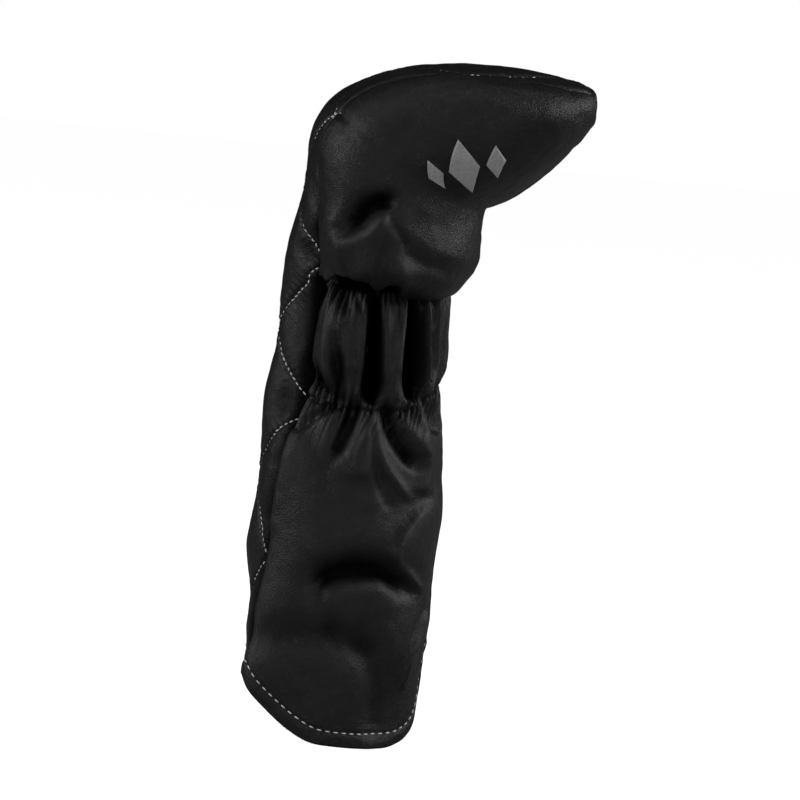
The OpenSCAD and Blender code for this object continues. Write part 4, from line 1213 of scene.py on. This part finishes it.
spot = form_at(EMBLEM_LENGTH, EMBLEM_SHARE)
along = (form_at(EMBLEM_LENGTH + EMBLEM_STEP, EMBLEM_SHARE) - spot) / EMBLEM_STEP
around = (form_at(EMBLEM_LENGTH, EMBLEM_SHARE + EMBLEM_STEP) - spot) / EMBLEM_STEP
area = along[0] * around[2] - along[2] * around[0]
p, q = np.meshgrid(*[np.linspace(-1, 1, LOZENGE_POINTS)] * 2, indexing="ij")
lozenges = []
for k in (-1, 0, 1):
    size = 1 if k == 0 else OUTER_SHARE
    w = k * ((1 + OUTER_SHARE) * LOZENGE_WIDTH / 2 + LOZENGE_GAP) + (p + q) / 4 * size * LOZENGE_WIDTH
    h = (p - q) / 4 * size * LOZENGE_HEIGHT
    x = w * np.cos(EMBLEM_TILT) - h * np.sin(EMBLEM_TILT)
    z = w * np.sin(EMBLEM_TILT) + h * np.cos(EMBLEM_TILT)
    t = EMBLEM_LENGTH + (x * around[2] - z * around[0]) / area
    f = EMBLEM_SHARE + (z * along[0] - x * along[2]) / area
    row, column = head_row(t, f), side_column(f, HEADS[False])
    ground, out = sample(HEADS[False]["outside"], row, column), sample(HEADS[False]["out"], row, column)
    thick = FELT * np.sqrt(np.maximum(1 - np.maximum(np.abs(p), np.abs(q)) ** FELT_EDGE_POWER, 0))
    top = ground + out * (thick + waves(ground, FELT_WAVES))[..., None]
    lozenges.append(shell(on_side(top, False), on_side(ground - out * FELT_SINK, False)[::2, ::2]))
emblem = add_piece("emblem_lozenges", *joined(lozenges), "grey_felt", "felt_emblem")

# %% [markdown]
# ## Stitches
# Pale thread shows in two places: the diamond quilting, and one row of topstitching round the hem. One
# stitch is a stretched sphere of a few faces. It is made once, and its copies follow lines drawn over the
# finished leather, each sunk a little at its ends, as thread is where it goes through.

# %% One stitch
THREAD, FIRST_STITCH, STITCH_RISE, STITCH_DIP = 0.38, 0.3, 0.55, 0.9
bpy.ops.object.select_all(action="DESELECT")
bpy.ops.mesh.primitive_uv_sphere_add(segments=6, ring_count=5, radius=1)
pattern = bpy.context.object
stitch_points = np.array([v.co for v in pattern.data.vertices])
stitch_faces = [list(face.vertices) for face in pattern.data.polygons]
bpy.data.objects.remove(pattern)


def sew(line, out, length, pitch):
    """Stitches along a line of points, with the directions away from the leather."""
    run = run_length(line, 0)
    starts = np.arange(FIRST_STITCH * pitch, run[-1] - length, pitch)
    first, middle, last = [read_along(line, run, starts + share * length) for share in (0, 0.5, 1)]
    up = unit(read_along(out, run, starts + length / 2))
    way = unit(last - first)
    across = unit(np.cross(up, way))
    x, y, z = stitch_points.T
    lift = THREAD * (STITCH_RISE - STITCH_DIP * z * z)
    points = (middle[:, None] + way[:, None] * (z * length / 2)[:, None]
              + across[:, None] * (y * THREAD)[:, None] + up[:, None] * (x * THREAD + lift)[:, None])
    count = len(stitch_points)
    faces = [[v + i * count for v in face] for i in range(len(starts)) for face in stitch_faces]
    return points.reshape(-1, 3), faces


print("one stitch has", len(stitch_faces), "faces")

# %% [markdown]
# ## Quilting thread
# The lines of the quilting are drawn on the strip as if it lay flat, at the same places as its grooves.
# Each point of a line is then read from the finished leather, so the thread lies in its groove.

# %% Quilting thread
QUILT_STITCH, QUILT_LINES, QUILT_START, QUILT_END = 2.4, range(-1, 15, 2), 9, 6
LINE_POINTS, SHORTEST_LINE, STITCHED_SHARE = 400, 20, 0.985


def strip_line(x, length):
    """Points and directions on the quilted strip, at places across and along it in mm."""
    row = np.interp(length, strip_length, np.arange(len(strip_length)))
    wide = np.interp(length, strip_length, strip_wide[:, 0])
    inside = np.abs(x) < STITCHED_SHARE * wide
    column = (x / wide + 1) / 2 * (STRIP_COLUMNS - 1)
    return sample(strip_outside, row, column)[inside], sample(strip_out, row, column)[inside]


rows_of_stitches = []
x = np.linspace(-STRIP_WIDTH / 2, STRIP_WIDTH / 2, LINE_POINTS)
for way in (1, -1):
    for turn in QUILT_LINES:
        length = (turn - way * x * ACROSS) / ALONG - DIAMOND_SHIFT
        kept = (length > QUILT_START) & (length < strip_length[-1] - QUILT_END)
        line, out = strip_line(x[kept], length[kept])
        if len(line) > SHORTEST_LINE:
            rows_of_stitches.append(sew(line, out, QUILT_STITCH, STITCH_PITCH))
add_piece("quilting_thread", *joined(rows_of_stitches), "elastic_tape")

# %% [markdown]
# ## Hem thread
# The topstitching keeps one distance from the hem all the way round. The distance was measured for the
# relief, so the line is where it reaches that value, column by column.

# %% Hem thread
HEM_LENGTH, HEM_PITCH, STRIP_POINTS = 2.8, 4.5, 100


def hem_line(side):
    """Points and directions at an even distance above the hem of a sleeve panel."""
    to_hem = side["to_hem"]
    after = np.argmax(to_hem >= HEM_STITCH, axis=0)
    columns = np.arange(len(after))
    low, high = to_hem[after - 1, columns], to_hem[after, columns]
    row = after - 1 + (HEM_STITCH - low) / (high - low)
    return sample(side["outside"], row, columns.astype(float)), side["out"][after, columns]


rows_of_stitches = []
for _, far in SIDES:
    line, out = hem_line(SLEEVES[far])
    rows_of_stitches.append(sew(on_side(line, far), on_side(out, far), HEM_LENGTH, HEM_PITCH))
x = np.linspace(-STRIP_WIDTH / 2, STRIP_WIDTH / 2, STRIP_POINTS)
rows_of_stitches.append(sew(*strip_line(x, HEM_STITCH + 0 * x), HEM_LENGTH, HEM_PITCH))
add_piece("hem_thread", *joined(rows_of_stitches), "elastic_tape")

# %% [markdown]
# ## Pile at the hem
# The cut edge of the plush stands out below the hem as loose fibres. Each is a thin spike of a few faces,
# bent once, with its root in the lining. The same seed gives the same fibres on every run.

# %% Pile at the hem
FIBRES, FIBRE_RADIUS, FIBRE_TAPER, FIBRE_BEND = 2600, 0.16, 0.7, 0.55
SHORT_FIBRE, LONG_FIBRE, ROOT_RISE = 1.4, 3.4, 0.8      # mm
ROOT_SPREAD, FIBRE_LEAN, LEAN_OUT, FIBRE_CURL = (-0.5, 0.4), 0.35, 0.25, 0.4
CLUMP_WAVES, CLUMP_WAY = ((0.9, 0, 0.35), (0.37, 1, 0.3)), (0.6, 0.2, 0)     # pace, start and size
CORNER_TURNS = (0, 2.094, 4.189)                        # thirds of a turn
FIBRE_POINTS = 2 * len(CORNER_TURNS) + 1
rng = np.random.default_rng(51)
fibre_faces = [[0, 2, 1], [0, 1, 4, 3], [1, 2, 5, 4], [2, 0, 3, 5], [3, 4, 6], [4, 5, 6], [5, 3, 6]]
clumps = []
for _, far in SIDES:
    form, centre, depth = sleeve_ring(far, np.array([[0.0]]))
    edge, inwards = sink(form, centre, depth + LINING / 2)[0], unit(centre - form)[0]
    run = run_length(edge, 0)
    place = np.sort(rng.uniform(0, run[-1], FIBRES // 2))
    root, inward = read_along(edge, run, place), unit(read_along(inwards, run, place))
    root = root + inward * rng.uniform(*ROOT_SPREAD, (len(place), 1)) * LINING + (0, 0, ROOT_RISE)
    clump = sum(np.sin(place * pace + start) * size for pace, start, size in CLUMP_WAVES)
    lean = rng.normal(0, FIBRE_LEAN, (len(place), 3)) + clump[:, None] * np.array(CLUMP_WAY)
    way = unit(lean - inward * LEAN_OUT + (0, 0, -1))
    long = rng.uniform(SHORT_FIBRE, LONG_FIBRE, (len(place), 1))
    bent = unit(way + rng.normal(0, FIBRE_CURL, way.shape))
    side_way = unit(np.cross(way, rng.normal(size=way.shape)))
    third = np.cross(way, side_way)
    corners = [side_way * np.cos(a) + third * np.sin(a) for a in CORNER_TURNS]
    knee = root + way * long * FIBRE_BEND
    ring = np.stack([root + c * FIBRE_RADIUS for c in corners]
                    + [knee + c * FIBRE_RADIUS * FIBRE_TAPER for c in corners]
                    + [knee + bent * long * (1 - FIBRE_BEND)], 1)
    faces = [[v + i * FIBRE_POINTS for v in face] for i in range(len(place)) for face in fibre_faces]
    clumps.append((on_side(ring.reshape(-1, 3), far), faces))
add_piece("plush_edge", *joined(clumps), "plush_lining")

# %% [markdown]
# ## Grain and fibres
# The leather is near black with a satin shine. A node group makes its grain for both leathers: small
# cells with fine creases between them, and a slow change of tone over the hide. It puts out only what
# varies from place to place. The soft materials share another group, a tangle of fine fibres.

# %% Grain and fibres
GRAIN_WANDER = 0.0008               # metres that the cells wander off their places
FINE_SHARE = 0.35                   # height of the finest grain beside that of the cells


def new_group(name, outputs, inputs=()):
    group = bpy.data.node_groups.new(name, "ShaderNodeTree")
    for label, kind in outputs:
        group.interface.new_socket(label, in_out="OUTPUT", socket_type=kind)
    for label, value in inputs:
        group.interface.new_socket(label, in_out="INPUT", socket_type="NodeSocketFloat").default_value = value
    return group, group.nodes.new("NodeGroupInput"), group.nodes.new("NodeGroupOutput")


def add(tree, kind, **values):
    """A node with its settings, and its sockets by name."""
    node = tree.nodes.new(kind)
    for key, value in values.items():
        if hasattr(node, key):
            setattr(node, key, value)
        else:
            node.inputs[key.replace("_", " ").title()].default_value = value
    return node


def wire(tree, *pairs):
    for start, end in pairs:
        tree.links.new(start, end)


grain, grain_in, grain_out = new_group("leather grain", [
    ("Tone", "NodeSocketFloat"), ("Normal", "NodeSocketVector")], [("Depth", 0.3)])
place = add(grain, "ShaderNodeTexCoord")
wander = add(grain, "ShaderNodeTexNoise", scale=420.0, detail=2.0)
bend = add(grain, "ShaderNodeVectorMath", operation="MULTIPLY_ADD")
bend.inputs[1].default_value = (GRAIN_WANDER,) * 3
cells = add(grain, "ShaderNodeTexVoronoi", feature="DISTANCE_TO_EDGE", scale=880.0)
crease = add(grain, "ShaderNodeMapRange", from_max=0.22)
fine = add(grain, "ShaderNodeTexNoise", scale=2400.0, detail=3.0)
height = add(grain, "ShaderNodeMath", operation="MULTIPLY_ADD")
height.inputs[1].default_value = FINE_SHARE
bump = add(grain, "ShaderNodeBump", distance=0.00022)
tone = add(grain, "ShaderNodeTexNoise", scale=34.0, detail=4.0)
wire(grain, (place.outputs["Object"], wander.inputs["Vector"]), (wander.outputs["Color"], bend.inputs[0]),
     (place.outputs["Object"], bend.inputs[2]), (bend.outputs[0], cells.inputs["Vector"]),
     (place.outputs["Object"], fine.inputs["Vector"]), (place.outputs["Object"], tone.inputs["Vector"]),
     (cells.outputs["Distance"], crease.inputs["Value"]), (fine.outputs["Fac"], height.inputs[0]),
     (crease.outputs[0], height.inputs[2]), (height.outputs[0], bump.inputs["Height"]),
     (grain_in.outputs["Depth"], bump.inputs["Strength"]), (tone.outputs["Fac"], grain_out.inputs["Tone"]),
     (bump.outputs[0], grain_out.inputs["Normal"]))

pile, pile_in, pile_out = new_group("tangled fibres", [
    ("Tone", "NodeSocketFloat"), ("Normal", "NodeSocketVector")], [("Scale", 900.0), ("Depth", 0.6)])
place = add(pile, "ShaderNodeTexCoord")
hairs = add(pile, "ShaderNodeTexNoise", detail=5.0, roughness=0.7, distortion=1.5)
bump = add(pile, "ShaderNodeBump", distance=0.0006)
wire(pile, (place.outputs["Object"], hairs.inputs["Vector"]),
     (pile_in.outputs["Scale"], hairs.inputs["Scale"]),
     (pile_in.outputs["Depth"], bump.inputs["Strength"]), (hairs.outputs["Fac"], bump.inputs["Height"]),
     (hairs.outputs["Fac"], pile_out.inputs["Tone"]), (bump.outputs[0], pile_out.inputs["Normal"]))
print("groups:", grain.name, "and", pile.name)

# %% [markdown]
# ## Materials
# Every finish is the same small tree with its own values: the group's tone runs from a dark to a pale
# colour and from a smooth to a rough surface, and the shade of the folds dims both colour and shine. A
# ready leather picture would be quicker, but it would repeat and stretch over the folds.

# %% Materials
TONE_FROM, TONE_TO, DARKEST_FOLD = 0.3, 0.7, 0.06


def new_material(name, group, low, high, rough_low, rough_high, specular, knobs):
    """A material whose colour and roughness go from low to high with the group's tone."""
    material = bpy.data.materials.new(name)
    material.use_nodes = True
    tree = material.node_tree
    shader = tree.nodes["Principled BSDF"]
    effect = add(tree, "ShaderNodeGroup", node_tree=group)
    for key, value in knobs.items():
        effect.inputs[key].default_value = value
    share = add(tree, "ShaderNodeMapRange", from_min=TONE_FROM, from_max=TONE_TO)
    colour = add(tree, "ShaderNodeMix", data_type="RGBA")
    colour.inputs[6].default_value, colour.inputs[7].default_value = (*low, 1), (*high, 1)
    rough = add(tree, "ShaderNodeMapRange", to_min=rough_low, to_max=rough_high)
    fold = add(tree, "ShaderNodeAttribute", attribute_name="fold_shade")
    lit = add(tree, "ShaderNodeMapRange", to_min=1.0, to_max=DARKEST_FOLD)
    dim = add(tree, "ShaderNodeVectorMath", operation="SCALE")
    shine = add(tree, "ShaderNodeMath", operation="MULTIPLY")
    shine.inputs[1].default_value = specular
    wire(tree, (fold.outputs["Fac"], lit.inputs["Value"]), (lit.outputs[0], dim.inputs["Scale"]),
         (lit.outputs[0], shine.inputs[0]), (shine.outputs[0], shader.inputs["Specular IOR Level"]),
         (colour.outputs[2], dim.inputs[0]), (dim.outputs[0], shader.inputs["Base Color"]))
    wire(tree, (effect.outputs["Tone"], share.inputs["Value"]), (share.outputs[0], rough.inputs["Value"]),
         (share.outputs[0], colour.inputs[0]), (rough.outputs[0], shader.inputs["Roughness"]),
         (effect.outputs["Normal"], shader.inputs["Normal"]))
    return material


LEATHER_FINISH = (grain, (0.003,) * 3, (0.0055, 0.0055, 0.006), 0.40, 0.48, 0.34, {"Depth": 0.5})
# Name, group, darkest and palest colour, least and greatest roughness, shine, values of the group
FINISHES = {
    "smooth_leather": ("smooth leather", *LEATHER_FINISH),
    "quilted_leather": ("quilted leather", *LEATHER_FINISH),
    "padding": ("foam", pile, (0.62, 0.62, 0.59), (0.74, 0.74, 0.71), 0.9, 0.95, 0.2, {"Scale": 700.0}),
    "plush_lining": ("plush", pile, (0.50, 0.50, 0.49), (0.72, 0.72, 0.71), 0.9, 1.0, 0.1, {"Scale": 900.0}),
    "elastic_tape": ("thread and tape", pile, (0.7, 0.7, 0.69), (0.92, 0.92, 0.91), 0.6, 0.75, 0.3,
                     {"Scale": 2500.0}),
    "grey_felt": ("felt", pile, (0.2, 0.2, 0.2), (0.6, 0.6, 0.6), 0.85, 0.95, 0.15, {"Scale": 1500.0}),
}
MATERIALS = {slot: new_material(*finish) for slot, finish in FINISHES.items()}
for piece, slot in DRESSING:
    piece.data.materials.append(MATERIALS[slot])
print("dressed:", len(DRESSING), "pieces")

# %% [markdown]
# ## Studio
# The cover stands on a pale floor in front of white. Black leather shows little but what it mirrors, so
# soft lamps stand at both sides, in front and above. A sky picture could light it too, but lamps can be
# moved one by one until each fold is lit as in the picture.

# %% Lamps
LAMP_DISTANCE, LAMP_SIZE = 1.8, 0.8                     # metres
LAMPS = {                                               # turn and rise in degrees, watts
    "left_lamp": (-80, 20, 11), "left_front_lamp": (-55, 16, 6), "front_lamp": (15, -6, 9.5),
    "right_lamp": (82, 32, 10), "right_back_lamp": (108, 18, 8), "top_lamp": (0, 78, 6)}


def lamp(name, turn, rise, watts):
    """A round soft lamp that faces the cover, turned from the camera's side and raised, in degrees."""
    light = bpy.data.lights.new(name, "AREA")
    light.shape, light.size, light.energy = "DISK", LAMP_SIZE, watts
    stand = bpy.data.objects.new(name, light)
    turn, rise = np.radians((turn, rise))
    away = Vector((np.sin(turn) * np.cos(rise), -np.cos(turn) * np.cos(rise), np.sin(rise)))
    facing_cover = away.to_track_quat("Z", "Y").to_matrix().to_4x4()
    stand.matrix_world = Matrix.Translation(away * LAMP_DISTANCE) @ facing_cover
    bpy.context.scene.collection.objects.link(stand)


for name, (turn, rise, watts) in LAMPS.items():
    lamp(name, turn, rise, watts)
print("lamps:", len(LAMPS))

# %% [markdown]
# ## Floor and backdrop
# The floor and the world are white to the camera alone, since the leather would mirror a white room as
# grey. A light path node tells the camera's rays from the others.

# %% Floor and backdrop
FLOOR_LEVEL, FLOOR_SIZE = HEM_LOW - 3.5, 14             # mm and metres
FLOOR_GLOW, FLOOR_TONES, WORLD_STRENGTHS = 0.98, (0.3, 0.4), (0.02, 1.0)
bpy.ops.object.select_all(action="DESELECT")
bpy.ops.mesh.primitive_plane_add(size=FLOOR_SIZE)
floor = bpy.context.object
floor.name = "floor"
floor.data.transform(Matrix.Translation((0, 0, FLOOR_LEVEL * MM)))
floor_paint = bpy.data.materials.new("pale floor")
floor_paint.use_nodes = True
tree = floor_paint.node_tree
shader = tree.nodes["Principled BSDF"]
shader.inputs["Roughness"].default_value = 1
shader.inputs["Specular IOR Level"].default_value = 0
shader.inputs["Emission Color"].default_value = (1, 1, 1, 1)
ray = add(tree, "ShaderNodeLightPath")
glow = add(tree, "ShaderNodeMath", operation="MULTIPLY")
glow.inputs[1].default_value = FLOOR_GLOW
paint = add(tree, "ShaderNodeMapRange", to_min=FLOOR_TONES[0], to_max=FLOOR_TONES[1])
wire(tree, (ray.outputs["Is Camera Ray"], glow.inputs[0]),
     (glow.outputs[0], shader.inputs["Emission Strength"]),
     (ray.outputs["Is Camera Ray"], paint.inputs["Value"]), (paint.outputs[0], shader.inputs["Base Color"]))
floor.data.materials.append(floor_paint)

world = bpy.data.worlds.new("studio")
bpy.context.scene.world = world
world.use_nodes = True
tree = world.node_tree
backdrop = tree.nodes["Background"]
ray = add(tree, "ShaderNodeLightPath")
strength = add(tree, "ShaderNodeMapRange", to_min=WORLD_STRENGTHS[0], to_max=WORLD_STRENGTHS[1])
wire(tree, (ray.outputs["Is Camera Ray"], strength.inputs["Value"]),
     (strength.outputs[0], backdrop.inputs["Strength"]))
backdrop.inputs["Color"].default_value = (1, 1, 1, 1)
bpy.context.scene.view_settings.view_transform = "Standard"
print("floor at", round(FLOOR_LEVEL, 1), "mm")
